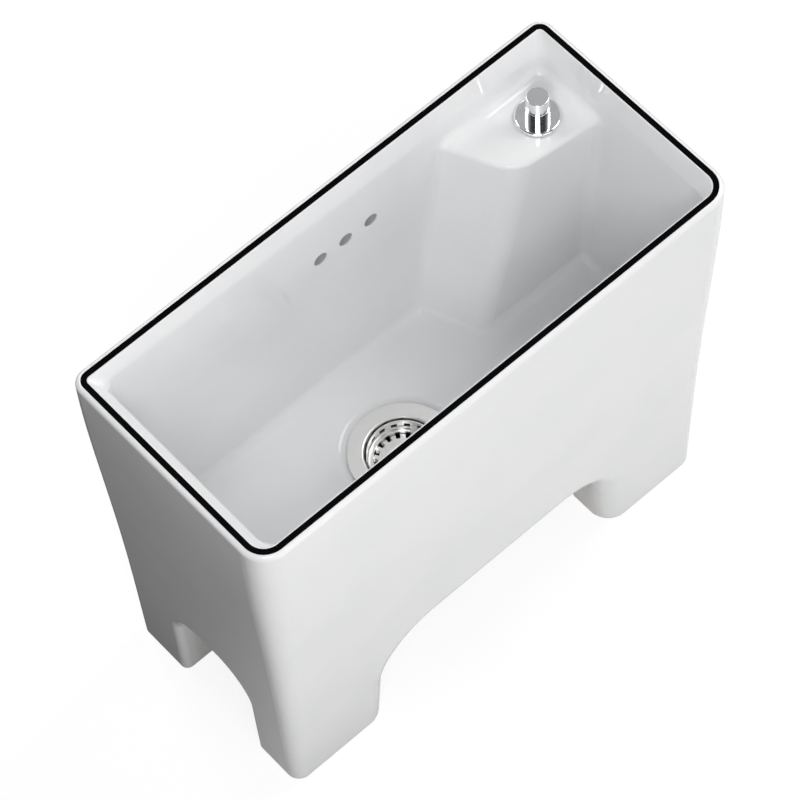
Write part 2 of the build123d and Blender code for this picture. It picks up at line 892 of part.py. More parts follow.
# Valve housing, hung from the outlet by its coupling nut
seat_top = collar_top - valve_seat_drop
seat_bottom = seat_top - valve_seat_thickness
guide_top = collar_top - guide_drop
guide_bottom = guide_top - guide_thickness
guide_step_radius = outlet_radius - guide_step
spindle_x = drain_x - finger_length
spindle_z = housing_end + spindle_height
spindle_axis = Axis((spindle_x, 0, spindle_z), (0, 1, 0))
spindle_section = Plane(origin=(spindle_x, 0, spindle_z), x_dir=(0, 1, 0), z_dir=(1, 0, 0))
spindle_face = Plane(origin=(spindle_x, 0, spindle_z), x_dir=(-1, 0, 0), z_dir=(0, 1, 0))
thread_end = boss_reach + gland_thread_length


def across_spindle(y):
    """Upright plane square to the spindle, at the distance y from the middle of the drain."""
    return spindle_face.offset(y)


with BuildPart() as outlet_seal:
    with BuildSketch(drain_plane(collar_top)):
        Circle(outlet_outer)
        Circle(outlet_radius, mode=Mode.SUBTRACT)
    extrude(amount=outlet_seal_thickness)
outlet_seal.part.label = "outlet_seal"
export_step(outlet_seal.part, "parts/outlet_seal.step")

with BuildPart() as coupling_nut:
    with BuildSketch(drain_plane(collar_bottom - nut_lip)):
        add(ribbed_outline(outlet_outer + thread_gap + nut_wall))
    extrude(amount=coupling_nut_height)
    with BuildSketch(drain_plane(collar_bottom)):
        Circle(outlet_outer + thread_gap)
    extrude(amount=coupling_nut_height, mode=Mode.SUBTRACT)
    with BuildSketch(drain_plane(collar_bottom - nut_lip)):
        Circle(housing_outer + thread_gap)
    extrude(amount=nut_lip, mode=Mode.SUBTRACT)
coupling_nut.part.label = "coupling_nut"
export_step(coupling_nut.part, "parts/coupling_nut.step")

with BuildPart() as valve_housing:
    with BuildSketch(drain_plane(housing_end)):
        Circle(housing_outer)
    extrude(amount=housing_length)
    with BuildSketch(drain_plane(collar_bottom)):
        Circle(outlet_outer)
    extrude(amount=housing_collar)
    for reach, radius in ((boss_reach, boss_radius), (thread_end, gland_thread_radius)):
        with BuildSketch(spindle_face):
            Circle(radius)
        extrude(amount=reach)
    with BuildSketch(spindle_face):
        Circle(blind_boss_radius)
    extrude(amount=-blind_boss_reach)
    with BuildSketch(drain_section):
        with BuildLine():
            Polyline(
                (0, housing_end),
                (outlet_radius, housing_end),
                (outlet_radius, guide_top),
                (guide_step_radius, guide_top),
                (guide_step_radius, seat_bottom),
                (valve_seat_opening, seat_bottom),
                (valve_seat_opening, seat_top),
                (outlet_radius, seat_top),
                (outlet_radius, collar_top),
                (0, collar_top),
                close=True,
            )
        make_face()
    revolve(axis=drain_axis, mode=Mode.SUBTRACT)
    with BuildSketch(across_spindle(blind_boss_cap - blind_boss_reach)):
        Circle(spindle_radius + running_gap)
    extrude(amount=blind_boss_reach - blind_boss_cap + thread_end, mode=Mode.SUBTRACT)
    with BuildSketch(across_spindle(thread_end)):
        Circle(o_ring_radius)
    extrude(amount=-(o_ring_radius - spindle_radius - running_gap), mode=Mode.SUBTRACT)
valve_housing.part.label = "valve_housing"
export_step(valve_housing.part, "parts/valve_housing.step")

with BuildPart() as stem_guide:
    with BuildSketch(drain_plane(guide_bottom)):
        Circle(outlet_radius - fit_gap)
        Circle(outlet_radius - guide_rim, mode=Mode.SUBTRACT)
        with PolarLocations((outlet_radius - guide_rim / 2) / 2, guide_spokes):
            Rectangle(outlet_radius - guide_rim / 2, guide_spoke_width)
        Circle(guide_hub_radius)
        Circle(valve_stem_radius + running_gap, mode=Mode.SUBTRACT)
    extrude(amount=guide_thickness)
stem_guide.part.label = "stem_guide"
export_step(stem_guide.part, "parts/stem_guide.step")

# Poppet that closes on the seat, with the stem that the finger lifts
disc_bottom = seat_top + valve_seal_thickness
foot_bottom = spindle_z + finger_nose_radius + lift_gap
with BuildPart() as valve_seal:
    with BuildSketch(drain_plane(seat_top)):
        Circle(valve_seal_radius)
        Circle(valve_stem_radius, mode=Mode.SUBTRACT)
    extrude(amount=valve_seal_thickness)
valve_seal.part.label = "valve_seal"
export_step(valve_seal.part, "parts/valve_seal.step")

with BuildPart() as valve_disc:
    with BuildSketch(drain_plane(disc_bottom)):
        Circle(valve_disc_radius)
    extrude(amount=valve_disc_thickness)
    fillet(valve_disc.edges().group_by(Axis.Z)[-1], valve_disc_round)
    with BuildSketch(drain_plane(disc_bottom)):
        Circle(valve_stem_radius)
    extrude(amount=valve_stem_bite, mode=Mode.SUBTRACT)
valve_disc.part.label = "valve_disc"
export_step(valve_disc.part, "parts/valve_disc.step")

with BuildPart() as valve_stem:
    with BuildSketch(drain_plane(foot_bottom)):
        Circle(valve_foot_radius)
    extrude(amount=valve_foot_thickness)
    fillet(valve_stem.edges().group_by(Axis.Z)[0], valve_foot_thickness / 3)
    with BuildSketch(drain_plane(foot_bottom)):
        Circle(valve_stem_radius)
    extrude(amount=disc_bottom + valve_stem_bite - foot_bottom)
valve_stem.part.label = "valve_stem"
export_step(valve_stem.part, "parts/valve_stem.step")

# Spindle with its finger under the stem, sealed and held by the gland nut
plate_far = boss_reach + bracket_thickness
nut_far = thread_end + gland_nut_cap
lever_near = nut_far + lever_gap
lever_far = lever_near + lever_thickness
with BuildPart() as lift_spindle:
    with BuildSketch(across_spindle(blind_boss_cap - blind_boss_reach + lift_gap)):
        Circle(spindle_radius)
    extrude(amount=blind_boss_reach - blind_boss_cap - lift_gap + lever_far + spindle_overhang)
    fillet(lift_spindle.edges().group_by(Axis.Y)[-1], spindle_end_round)
    with BuildSketch(across_spindle(-finger_width / 2)) as finger_plan:
        Circle(spindle_radius + finger_hub_wall)
        with Locations((-finger_length, 0)):
            Circle(finger_nose_radius)
        make_hull(finger_plan.edges())
    extrude(amount=finger_width)
lift_spindle.part.label = "lift_spindle"
export_step(lift_spindle.part, "parts/lift_spindle.step")

o_ring_section = (o_ring_radius - spindle_radius - running_gap) / 2
with BuildPart() as spindle_o_ring:
    with BuildSketch(spindle_section):
        with Locations((thread_end - o_ring_section, o_ring_radius - o_ring_section)):
            Circle(o_ring_section)
    revolve(axis=spindle_axis)
spindle_o_ring.part.label = "spindle_o_ring"
export_step(spindle_o_ring.part, "parts/spindle_o_ring.step")

with BuildPart() as gland_nut:
    with BuildSketch(across_spindle(plate_far)):
        RegularPolygon(gland_nut_flats / 2, 6, major_radius=False)
        Circle(gland_thread_radius + thread_gap, mode=Mode.SUBTRACT)
    extrude(amount=thread_end - plate_far)
    with BuildSketch(across_spindle(thread_end)):
        RegularPolygon(gland_nut_flats / 2, 6, major_radius=False)
        Circle(spindle_radius + running_gap, mode=Mode.SUBTRACT)
    extrude(amount=gland_nut_cap)
gland_nut.part.label = "gland_nut"
export_step(gland_nut.part, "parts/gland_nut.step")

with BuildPart() as lever_arm:
    with BuildSketch(across_spindle(lever_near)) as lever_plan:
        Circle(lever_hub_radius)
        with Locations((0, lever_arm_length)):
            Circle(lever_tip_radius)
        make_hull(lever_plan.edges())
        Circle(spindle_radius, mode=Mode.SUBTRACT)
        with Locations((0, lever_arm_length)):
            Circle(cable_pin_radius, mode=Mode.SUBTRACT)
    extrude(amount=lever_thickness)
    with BuildSketch(Plane.YZ.offset(spindle_x)):
        with Locations(((lever_near + lever_far) / 2, spindle_z)):
            Circle(lever_screw_radius)
    extrude(amount=-lever_hub_radius, mode=Mode.SUBTRACT)
lever_arm.part.label = "lever_arm"
export_step(lever_arm.part, "parts/lever_arm.step")

with BuildPart() as lever_screw:
    with BuildSketch(Plane.YZ.offset(spindle_x - spindle_radius)):
        with Locations(((lever_near + lever_far) / 2, spindle_z)):
            Circle(lever_screw_radius)
    extrude(amount=spindle_radius - lever_hub_radius)
    with BuildSketch(Plane.YZ.offset(spindle_x - lever_hub_radius)):
        with Locations(((lever_near + lever_far) / 2, spindle_z)):
            RegularPolygon(lever_screw_radius / 2, 6)
    extrude(amount=lever_screw_radius, mode=Mode.SUBTRACT)
lever_screw.part.label = "lever_screw"
export_step(lever_screw.part, "parts/lever_screw.step")

with BuildPart() as cable_pin:
    with BuildSketch(across_spindle(lever_near - cable_pin_spare)):
        with Locations((0, lever_arm_length)):
            Circle(cable_pin_radius)
    extrude(amount=cable_pin_spare + lever_thickness)
    with BuildSketch(across_spindle(lever_far)):
        with Locations((0, lever_arm_length)):
            Circle(cable_pin_head)
    extrude(amount=cable_pin_head_height)
    fillet(cable_pin.edges().group_by(Axis.Y)[-1], cable_pin_head_height / 3)
cable_pin.part.label = "cable_pin"
export_step(cable_pin.part, "parts/cable_pin.step")

# Bracket clamped behind the gland nut, with the screw that adjusts the sheath of the cable
cable_y = (lever_near + lever_far) / 2
cable_z = spindle_z + lever_arm_length
tab_near = drain_x + bracket_from_drain
tab_far = tab_near + bracket_thickness
with BuildPart() as cable_bracket:
    with BuildSketch(across_spindle(boss_reach)) as bracket_plan:
        Circle(bracket_width / 2)
        with Locations((spindle_x - tab_far + bracket_tab_height / 2, lever_arm_length)):
            Rectangle(bracket_tab_height, bracket_tab_height)
        make_hull(bracket_plan.edges())
        Circle(gland_thread_radius + thread_gap, mode=Mode.SUBTRACT)
    extrude(amount=bracket_thickness)
    with BuildSketch(Plane.YZ.offset(tab_near)) as tab_plan:
        with Locations((boss_reach + bracket_tab_reach / 2, cable_z)):
            Rectangle(bracket_tab_reach, bracket_tab_height)
        fillet(tab_plan.vertices().group_by(Axis.Y)[-1], bracket_tab_height / 4)
        with Locations((cable_y, cable_z)):
            Circle(sheath_screw_radius + thread_gap, mode=Mode.SUBTRACT)
    extrude(amount=bracket_thickness)
cable_bracket.part.label = "cable_bracket"
export_step(cable_bracket.part, "parts/cable_bracket.step")

with BuildPart() as lower_sheath_screw:
    with BuildSketch(Plane.YZ.offset((tab_near + tab_far - sheath_screw_length) / 2)):
        with Locations((cable_y, cable_z)):
            Circle(sheath_screw_radius)
            Circle(sheath_screw_bore, mode=Mode.SUBTRACT)
    extrude(amount=sheath_screw_length)
lower_sheath_screw.part.label = "lower_sheath_screw"
export_step(lower_sheath_screw.part, "parts/lower_sheath_screw.step")

with BuildPart() as lower_sheath_nuts:
    for face_x in (tab_near - sheath_nut_height, tab_far):
        with BuildSketch(Plane.YZ.offset(face_x)):
            with Locations((cable_y, cable_z)):
                RegularPolygon(sheath_nut_flats / 2, 6, major_radius=False)
                Circle(sheath_screw_radius + thread_gap, mode=Mode.SUBTRACT)
        extrude(amount=sheath_nut_height)
lower_sheath_nuts.part.label = "lower_sheath_nuts"
export_step(lower_sheath_nuts.part, "parts/lower_sheath_nuts.step")

# Waste connection at the foot of the housing
tail_seal_z = housing_end - tail_seal_thickness
collar_end = tail_seal_z - tail_collar
with BuildPart() as tail_seal:
    with BuildSketch(drain_plane(tail_seal_z)):
        Circle(housing_outer)
        Circle(tail_radius, mode=Mode.SUBTRACT)
    extrude(amount=tail_seal_thickness)
tail_seal.part.label = "tail_seal"
export_step(tail_seal.part, "parts/tail_seal.step")

with BuildPart() as slip_nut:
    with BuildSketch(drain_plane(collar_end - nut_lip)):
        add(ribbed_outline(housing_outer + thread_gap + nut_wall))
    extrude(amount=slip_nut_height)
    with BuildSketch(drain_plane(collar_end)):
        Circle(housing_outer + thread_gap)
    extrude(amount=slip_nut_height, mode=Mode.SUBTRACT)
    with BuildSketch(drain_plane(collar_end - nut_lip)):
        Circle(tail_radius + thread_gap)
    extrude(amount=nut_lip, mode=Mode.SUBTRACT)
slip_nut.part.label = "slip_nut"
export_step(slip_nut.part, "parts/slip_nut.step")

with BuildPart() as tailpiece:
    with BuildSketch(drain_plane(tail_floor_gap)):
        Circle(tail_radius)
    extrude(amount=collar_end - tail_neck_length - tail_floor_gap)
    with BuildSketch(drain_plane(collar_end - tail_neck_length)):
        Circle(tail_radius - tail_neck_relief)
    extrude(amount=tail_neck_length)
    with BuildSketch(drain_plane(collar_end)):
        Circle(housing_outer)
    extrude(amount=tail_collar)
    with BuildSketch(drain_plane(tail_floor_gap)):
        Circle(tail_radius - tail_wall)
    extrude(amount=tail_seal_z - tail_floor_gap, mode=Mode.SUBTRACT)
    chamfer(tailpiece.edges().group_by(Axis.Z)[0].sort_by(SortBy.RADIUS)[-1], tail_bevel)
tailpiece.part.label = "tailpiece"
export_step(tailpiece.part, "parts/tailpiece.step")

# Heights and planes of the button, from the seal on the ledge
flange_z = ledge_z + deck_seal_thickness
escutcheon_top = flange_z + escutcheon_thickness
collar_z = escutcheon_top + collar_height
sleeve_end = flange_z - sleeve_length
sleeve_bore = cap_radius + running_gap
under_seal_z = shaft_top - under_seal_thickness
under_washer_z = under_seal_z - under_washer_thickness
barrel_nut_z = under_washer_z - barrel_nut_height
bush_top = sleeve_end + bush_thickness
button_axis = Axis((button_x, button_y, 0), (0, 0, 1))
button_section = Plane(origin=(button_x, button_y, 0), x_dir=(1, 0, 0), z_dir=(0, -1, 0))


def button_plane(z):
    """Level plane at the height z, centred on the button."""
    return Plane(origin=(button_x, button_y, z))


with BuildPart() as deck_seal:
    with BuildSketch(button_plane(ledge_z)):
        Circle(escutcheon_radius - deck_seal_inset)
        Circle(sleeve_radius + thread_gap, mode=Mode.SUBTRACT)
    extrude(amount=deck_seal_thickness)
deck_seal.part.label = "deck_seal"
export_step(deck_seal.part, "parts/deck_seal.step")

with BuildPart() as button_escutcheon:
    with BuildSketch(button_section):
        with BuildLine():
            Polyline(
                (sleeve_bore, sleeve_end),
                (sleeve_radius, sleeve_end),
                (sleeve_radius, flange_z),
                (escutcheon_radius, flange_z),
                (escutcheon_radius, escutcheon_top),
                (sleeve_bore + collar_wall, escutcheon_top),
                (sleeve_bore + collar_wall, collar_z),
                (sleeve_bore, collar_z),
                close=True,
            )
        make_face()
    revolve(axis=button_axis)
    for z, radius in ((escutcheon_top, escutcheon_round), (collar_z, collar_round)):
        fillet(button_escutcheon.edges().filter_by(level(z)).sort_by(SortBy.RADIUS)[-1], radius)
button_escutcheon.part.label = "button_escutcheon"
export_step(button_escutcheon.part, "parts/button_escutcheon.step")

with BuildPart() as under_ledge_seal:
    with BuildSketch(button_plane(under_seal_z)):
        Circle(under_seal_radius)
        Circle(sleeve_radius + thread_gap, mode=Mode.SUBTRACT)
    extrude(amount=under_seal_thickness)
under_ledge_seal.part.label = "under_ledge_seal"
export_step(under_ledge_seal.part, "parts/under_ledge_seal.step")

with BuildPart() as under_ledge_washer:
    with BuildSketch(button_plane(under_washer_z)):
        Circle(under_seal_radius)
        Circle(sleeve_radius + thread_gap, mode=Mode.SUBTRACT)
    extrude(amount=under_washer_thickness)
under_ledge_washer.part.label = "under_ledge_washer"
export_step(under_ledge_washer.part, "parts/under_ledge_washer.step")

with BuildPart() as barrel_nut:
    with BuildSketch(button_plane(barrel_nut_z)):
        RegularPolygon(barrel_nut_flats / 2, 6, major_radius=False)
        Circle(sleeve_radius + thread_gap, mode=Mode.SUBTRACT)
    extrude(amount=barrel_nut_height)
barrel_nut.part.label = "barrel_nut"
export_step(barrel_nut.part, "parts/barrel_nut.step")

# Cap, rod and spring: the rod's collar rides in the sleeve and the clip stops it under the bush
cap_top = ledge_z + cap_stand
cap_bottom = cap_top - cap_height
cap_ceiling = cap_top - cap_wall
boss_end = cap_ceiling - cap_boss_depth
rod_top = boss_end + rod_bite
rod_collar_top = cap_top - rod_collar_drop
rod_collar_bottom = rod_collar_top - rod_collar_thickness
clip_top = sleeve_end - clip_play
clip_bottom = clip_top - clip_thickness
groove_radius = rod_radius - clip_groove
with BuildPart() as button_cap:
    with BuildSketch(button_section):
        with BuildLine():
            Polyline(
                (0, rod_top),
                (rod_radius, rod_top),
                (rod_radius, boss_end),
                (cap_boss_radius, boss_end),
                (cap_boss_radius, cap_ceiling),
                (cap_radius - cap_wall, cap_ceiling),
                (cap_radius - cap_wall, cap_bottom),
                (cap_radius, cap_bottom),
                (cap_radius, cap_top),
                (0, cap_top),
                close=True,
            )
        make_face()
    revolve(axis=button_axis)
    fillet(button_cap.edges().filter_by(level(cap_top)), cap_round)
button_cap.part.label = "button_cap"
export_step(button_cap.part, "parts/button_cap.step")

with BuildPart() as push_rod:
    with BuildSketch(button_section):
        with BuildLine():
            Polyline(
                (0, clip_bottom - rod_tail),
                (rod_radius, clip_bottom - rod_tail),
                (rod_radius, clip_bottom),
                (groove_radius, clip_bottom),
                (groove_radius, clip_top),
                (rod_radius, clip_top),
                (rod_radius, rod_collar_bottom),
                (rod_collar_radius, rod_collar_bottom),
                (rod_collar_radius, rod_collar_top),
                (rod_radius, rod_collar_top),
                (rod_radius, rod_top),
                (0, rod_top),
                close=True,
            )
        make_face()
    revolve(axis=button_axis)
push_rod.part.label = "push_rod"
export_step(push_rod.part, "parts/push_rod.step")

with BuildPart() as rod_clip:
    with BuildSketch(button_plane(clip_bottom)):
        Circle(clip_radius)
        Circle(groove_radius, mode=Mode.SUBTRACT)
        with Locations((clip_radius, 0)):
            Rectangle(2 * clip_radius, 2 * groove_radius - clip_groove, mode=Mode.SUBTRACT)
    extrude(amount=clip_thickness)
rod_clip.part.label = "rod_clip"
export_step(rod_clip.part, "parts/rod_clip.step")

with BuildPart() as guide_bush:
    with BuildSketch(button_plane(sleeve_end)):
        Circle(sleeve_bore - fit_gap)
        Circle(rod_radius + running_gap, mode=Mode.SUBTRACT)
    extrude(amount=bush_thickness)
guide_bush.part.label = "guide_bush"
export_step(guide_bush.part, "parts/guide_bush.step")

spring_start = bush_top + spring_wire_radius + spring_end_gap
spring_length = rod_collar_bottom - bush_top - 2 * (spring_wire_radius + spring_end_gap)
with BuildPart() as return_spring:
    with BuildLine(button_plane(spring_start)) as spring_path:
        Helix(spring_length / spring_turns, spring_length, spring_radius)
    with BuildSketch(Plane(origin=spring_path.line @ 0, z_dir=spring_path.line % 0)):
        Circle(spring_wire_radius)
    sweep(path=spring_path.line, is_frenet=True)
return_spring.part.label = "return_spring"
export_step(return_spring.part, "parts/return_spring.step")

# Socket screwed on the sleeve, with the screw that takes the upper end of the sheath
socket_top = sleeve_end + socket_bite
socket_end = socket_top - socket_length
socket_foot_end = socket_end - socket_foot_length
with BuildPart() as cable_socket:
    with BuildSketch(button_section):
        with BuildLine():
            Polyline(
                (sleeve_radius + thread_gap, socket_top),
                (sleeve_radius + thread_gap + socket_wall, socket_top),
                (sleeve_radius + thread_gap + socket_wall, socket_end),
                (socket_foot_radius, socket_end),
                (socket_foot_radius, socket_foot_end),
                (sheath_screw_radius + thread_gap, socket_foot_end),
                (sheath_screw_radius + thread_gap, socket_end + socket_floor),
                (socket_bore_radius, socket_end + socket_floor),
                (socket_bore_radius, sleeve_end),
                (sleeve_radius + thread_gap, sleeve_end),
                close=True,
            )
        make_face()
    revolve(axis=button_axis)
cable_socket.part.label = "cable_socket"
export_step(cable_socket.part, "parts/cable_socket.step")

with BuildPart() as upper_sheath_screw:
    with BuildSketch(button_plane(socket_end + socket_floor)):
        Circle(sheath_screw_radius)
        Circle(sheath_screw_bore, mode=Mode.SUBTRACT)
    extrude(amount=-sheath_screw_length)
upper_sheath_screw.part.label = "upper_sheath_screw"
export_step(upper_sheath_screw.part, "parts/upper_sheath_screw.step")

with BuildPart() as upper_sheath_nut:
    with BuildSketch(button_plane(socket_foot_end)):
        RegularPolygon(sheath_nut_flats / 2, 6, major_radius=False)
        Circle(sheath_screw_radius + thread_gap, mode=Mode.SUBTRACT)
    extrude(amount=-sheath_nut_height)
upper_sheath_nut.part.label = "upper_sheath_nut"
export_step(upper_sheath_nut.part, "parts/upper_sheath_nut.step")
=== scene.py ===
"""Looks of the ceramic mop sink: its glazes, metals, plastics and the fine threads on its fittings.

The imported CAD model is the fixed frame, in metres, with +X along the long side, +Y towards the
wall and +Z up. Every finish is a node material worked out from Object coordinates, and every
repeated detail comes from a Geometry Nodes tree that is turned into a plain mesh.
"""

import logging
from dataclasses import dataclass
from enum import Enum
from typing import Any, ClassVar, Sequence, Union

import bpy
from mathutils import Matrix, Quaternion, Vector


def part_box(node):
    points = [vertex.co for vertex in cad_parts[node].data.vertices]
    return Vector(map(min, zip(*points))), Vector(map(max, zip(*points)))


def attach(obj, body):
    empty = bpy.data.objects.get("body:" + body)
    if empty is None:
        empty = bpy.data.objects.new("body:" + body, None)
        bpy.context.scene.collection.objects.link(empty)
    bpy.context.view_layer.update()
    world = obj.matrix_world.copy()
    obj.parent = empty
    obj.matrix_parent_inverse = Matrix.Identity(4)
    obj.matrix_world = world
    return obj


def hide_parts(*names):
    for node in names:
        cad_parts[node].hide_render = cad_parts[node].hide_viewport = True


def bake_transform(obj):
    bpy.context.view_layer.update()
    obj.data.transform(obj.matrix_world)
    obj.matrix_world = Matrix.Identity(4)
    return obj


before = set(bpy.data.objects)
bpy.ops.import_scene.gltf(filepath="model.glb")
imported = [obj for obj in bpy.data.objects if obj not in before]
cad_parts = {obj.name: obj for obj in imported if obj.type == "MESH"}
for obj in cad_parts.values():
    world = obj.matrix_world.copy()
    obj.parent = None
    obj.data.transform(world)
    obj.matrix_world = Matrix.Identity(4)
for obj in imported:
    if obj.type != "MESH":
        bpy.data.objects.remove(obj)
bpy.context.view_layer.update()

MM = 0.001
AXIS_DRAIN = (-0.015, 0.0, 0.0)
AXIS_BUTTON = (0.2291, 0.0741, 0.0)
SHEATH_RADIUS = 3.32 * MM
SHEATH_PITCH = 1.0 * MM
SHEATH_DEPTH = 0.2 * MM
SHEATH_SPARE = 0.4 * MM

log = logging.getLogger("mop_sink")

Number = Union["Value", float]
Colour = tuple[float, float, float]
Span = tuple[float, float]


class Slot(Enum):
    """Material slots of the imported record."""

    WHITE_GLAZE = "white_glaze"
    BLACK_GLAZE = "black_glaze"
    CHROME = "chrome"
    SATIN_STEEL = "satin_steel"
    STEEL = "steel"
    BRASS = "brass"
    RUBBER = "black_rubber"
    GREY_PLASTIC = "grey_plastic"
    WHITE_PLASTIC = "white_plastic"


class Along(Enum):
    """Direction that a screw thread runs in."""

    UP = (0.0, 0.0, 0.0)
    TO_WALL = (-1.5707963, 0.0, 0.0)
    TO_END = (0.0, 1.5707963, 0.0)


class Value:
    """A number that changes over a surface, written with Python's own operators."""

    def __init__(self, shade: "Shade", socket: bpy.types.NodeSocket) -> None:
        """Wraps one output socket of the shade's tree."""
        self.shade = shade
        self.socket = socket

    def __add__(self, other: Number) -> "Value":
        """Sum."""
        return self.shade.math("ADD", self, other)

    def __radd__(self, other: Number) -> "Value":
        """Sum, with the value on the right."""
        return self.shade.math("ADD", other, self)

    def __sub__(self, other: Number) -> "Value":
        """Difference."""
        return self.shade.math("SUBTRACT", self, other)

    def __rsub__(self, other: Number) -> "Value":
        """Difference, with the value on the right."""
        return self.shade.math("SUBTRACT", other, self)

    def __mul__(self, other: Number) -> "Value":
        """Product."""
        return self.shade.math("MULTIPLY", self, other)

    def __rmul__(self, other: Number) -> "Value":
        """Product, with the value on the right."""
        return self.shade.math("MULTIPLY", other, self)

    def __truediv__(self, other: Number) -> "Value":
        """Quotient."""
        return self.shade.math("DIVIDE", self, other)

    def __pow__(self, other: Number) -> "Value":
        """Power."""
        return self.shade.math("POWER", self, other)

    def between(self, low: float, high: float) -> "Value":
        """Soft step.

        Args:
            low: where the result is 0.
            high: where the result is 1.

        Returns:
            A value that climbs smoothly from 0 to 1 between the two.
        """
        ramp = self.shade.node(
            "ShaderNodeMapRange",
            {"interpolation_type": "SMOOTHSTEP", "clamp": True},
            {"Value": self, "From Min": low, "From Max": high, "To Min": 0.0, "To Max": 1.0},
        )
        return Value(self.shade, ramp.outputs["Result"])

    def size(self) -> "Value":
        """The value without its sign."""
        return self.shade.math("ABSOLUTE", self)

    def clamp(self) -> "Value":
        """The value held between 0 and 1."""
        return Value(self.shade, self.shade.node("ShaderNodeClamp", {}, {"Value": self}).outputs[0])


class Shade:
    """The node tree of a material or of the world, and the few ways in which nodes are added."""

    def __init__(self, owner: Union[str, bpy.types.World]) -> None:
        """Starts an empty tree.

        Args:
            owner: the name of a new material, or the world.
        """
        self.material = bpy.data.materials.new(owner) if isinstance(owner, str) else owner
        self.material.use_nodes = True
        self.tree = self.material.node_tree
        self.tree.nodes.clear()

    def node(self, kind: str, settings: dict[str, Any], inputs: dict[Any, Any]) -> bpy.types.Node:
        """Adds any node.

        Args:
            kind: the node's type.
            settings: what is set on the node first; "stops" holds a ramp's places and colours.
            inputs: values or links of its sockets, by name or number.

        Returns:
            The node.
        """
        made = self.tree.nodes.new(kind)
        for key, setting in settings.items():
            if key == "stops":
                ramp = made.color_ramp.elements
                while len(ramp) < len(setting):
                    ramp.new(0.5)
                for element, (place, colour) in zip(ramp, setting):
                    element.position = place
                    element.color = (*colour, 1.0)
            else:
                setattr(made, key, setting)
        for key, given in inputs.items():
            socket = made.inputs[key]
            if isinstance(given, Value):
                self.tree.links.new(given.socket, socket)
            elif isinstance(given, bpy.types.NodeSocket):
                self.tree.links.new(given, socket)
            elif socket.type == "RGBA" and len(given) == 3:
                socket.default_value = (*given, 1.0)
            else:
                socket.default_value = given
        return made

    def math(self, operation: str, first: Number, second: Number = 0.0) -> Value:
        """Adds one Math node.

        Args:
            operation: the node's operation.
            first: its first number.
            second: its second number.

        Returns:
            What the node gives.
        """
        made = self.node("ShaderNodeMath", {"operation": operation}, {0: first, 1: second})
        return Value(self, made.outputs[0])

    def place(self, centre: Sequence[float] = (0.0, 0.0, 0.0)) -> bpy.types.NodeSocket:
        """Object coordinates.

        Args:
            centre: the point that they are measured from, in metres.

        Returns:
            The socket of the vector.
        """
        coordinates = self.node("ShaderNodeTexCoord", {}, {}).outputs["Object"]
        shift = tuple(-c for c in centre)
        mapping = self.node("ShaderNodeMapping", {}, {"Vector": coordinates, "Location": shift})
        return mapping.outputs[0]

    def axes(self, vector: bpy.types.NodeSocket) -> tuple[Value, Value, Value]:
        """The three numbers of a vector."""
        parts = self.node("ShaderNodeSeparateXYZ", {}, {0: vector}).outputs
        return Value(self, parts[0]), Value(self, parts[1]), Value(self, parts[2])

    def noise(self, vector: bpy.types.NodeSocket, grain: float, detail: float = 2.0) -> Value:
        """Cloudy pattern.

        Args:
            vector: the coordinates that it is read at.
            grain: the size of its clouds, in metres.
            detail: how many finer layers it has.

        Returns:
            A value about 0.5.
        """
        made = self.node(
            "ShaderNodeTexNoise",
            {"noise_dimensions": "3D"},
            {"Vector": vector, "Scale": 1.0 / grain, "Detail": detail, "Roughness": 0.55},
        )
        return Value(self, made.outputs[0])

    def rings(self, centre: Sequence[float], pitch: float) -> Value:
        """Turning marks: noise read along the distance from an upright axis.

        Args:
            centre: a point of the axis.
            pitch: the size of the marks, in metres.

        Returns:
            A value about 0.5.
        """
        x, y, z = self.axes(self.place(centre))
        radius = (x * x + y * y) ** 0.5
        made = self.node(
            "ShaderNodeTexNoise",
            {"noise_dimensions": "2D"},
            {
                "Vector": self.node("ShaderNodeCombineXYZ", {}, {0: radius, 1: z}).outputs[0],
                "Scale": 1.0 / pitch,
                "Detail": 3.0,
                "Roughness": 0.6,
            },
        )
        return Value(self, made.outputs[0])

    def blend(self, share: Number, first: Any, second: Any) -> bpy.types.NodeSocket:
        """Mixes two colours.

        Args:
            share: how much of the second one.
            first: a colour or its socket.
            second: a colour or its socket.

        Returns:
            The socket of the mixed colour.
        """
        made = self.node(
            "ShaderNodeMix",
            {"data_type": "RGBA", "blend_type": "MIX"},
            {0: share, 6: first, 7: second},
        )
        return made.outputs[2]

    def bump(self, height: Value, depth: float, under: Any = None) -> bpy.types.NodeSocket:
        """Relief in the surface.

        Args:
            height: the relief's height, from 0 to 1.
            depth: how deep that is, in metres.
            under: a relief that this one lies on, or None.

        Returns:
            The socket of the normal.
        """
        inputs = {"Strength": 1.0, "Distance": depth, "Height": height}
        if under is not None:
            inputs["Normal"] = under
        return self.node("ShaderNodeBump", {}, inputs).outputs[0]

    def finish(self, surface: dict[str, Any]) -> bpy.types.Material:
        """Closes the tree with one Principled BSDF.

        Args:
            surface: its sockets' values or links.

        Returns:
            The material.
        """
        shader = self.node("ShaderNodeBsdfPrincipled", {}, surface)
        self.node("ShaderNodeOutputMaterial", {}, {"Surface": shader.outputs[0]})
        return self.material


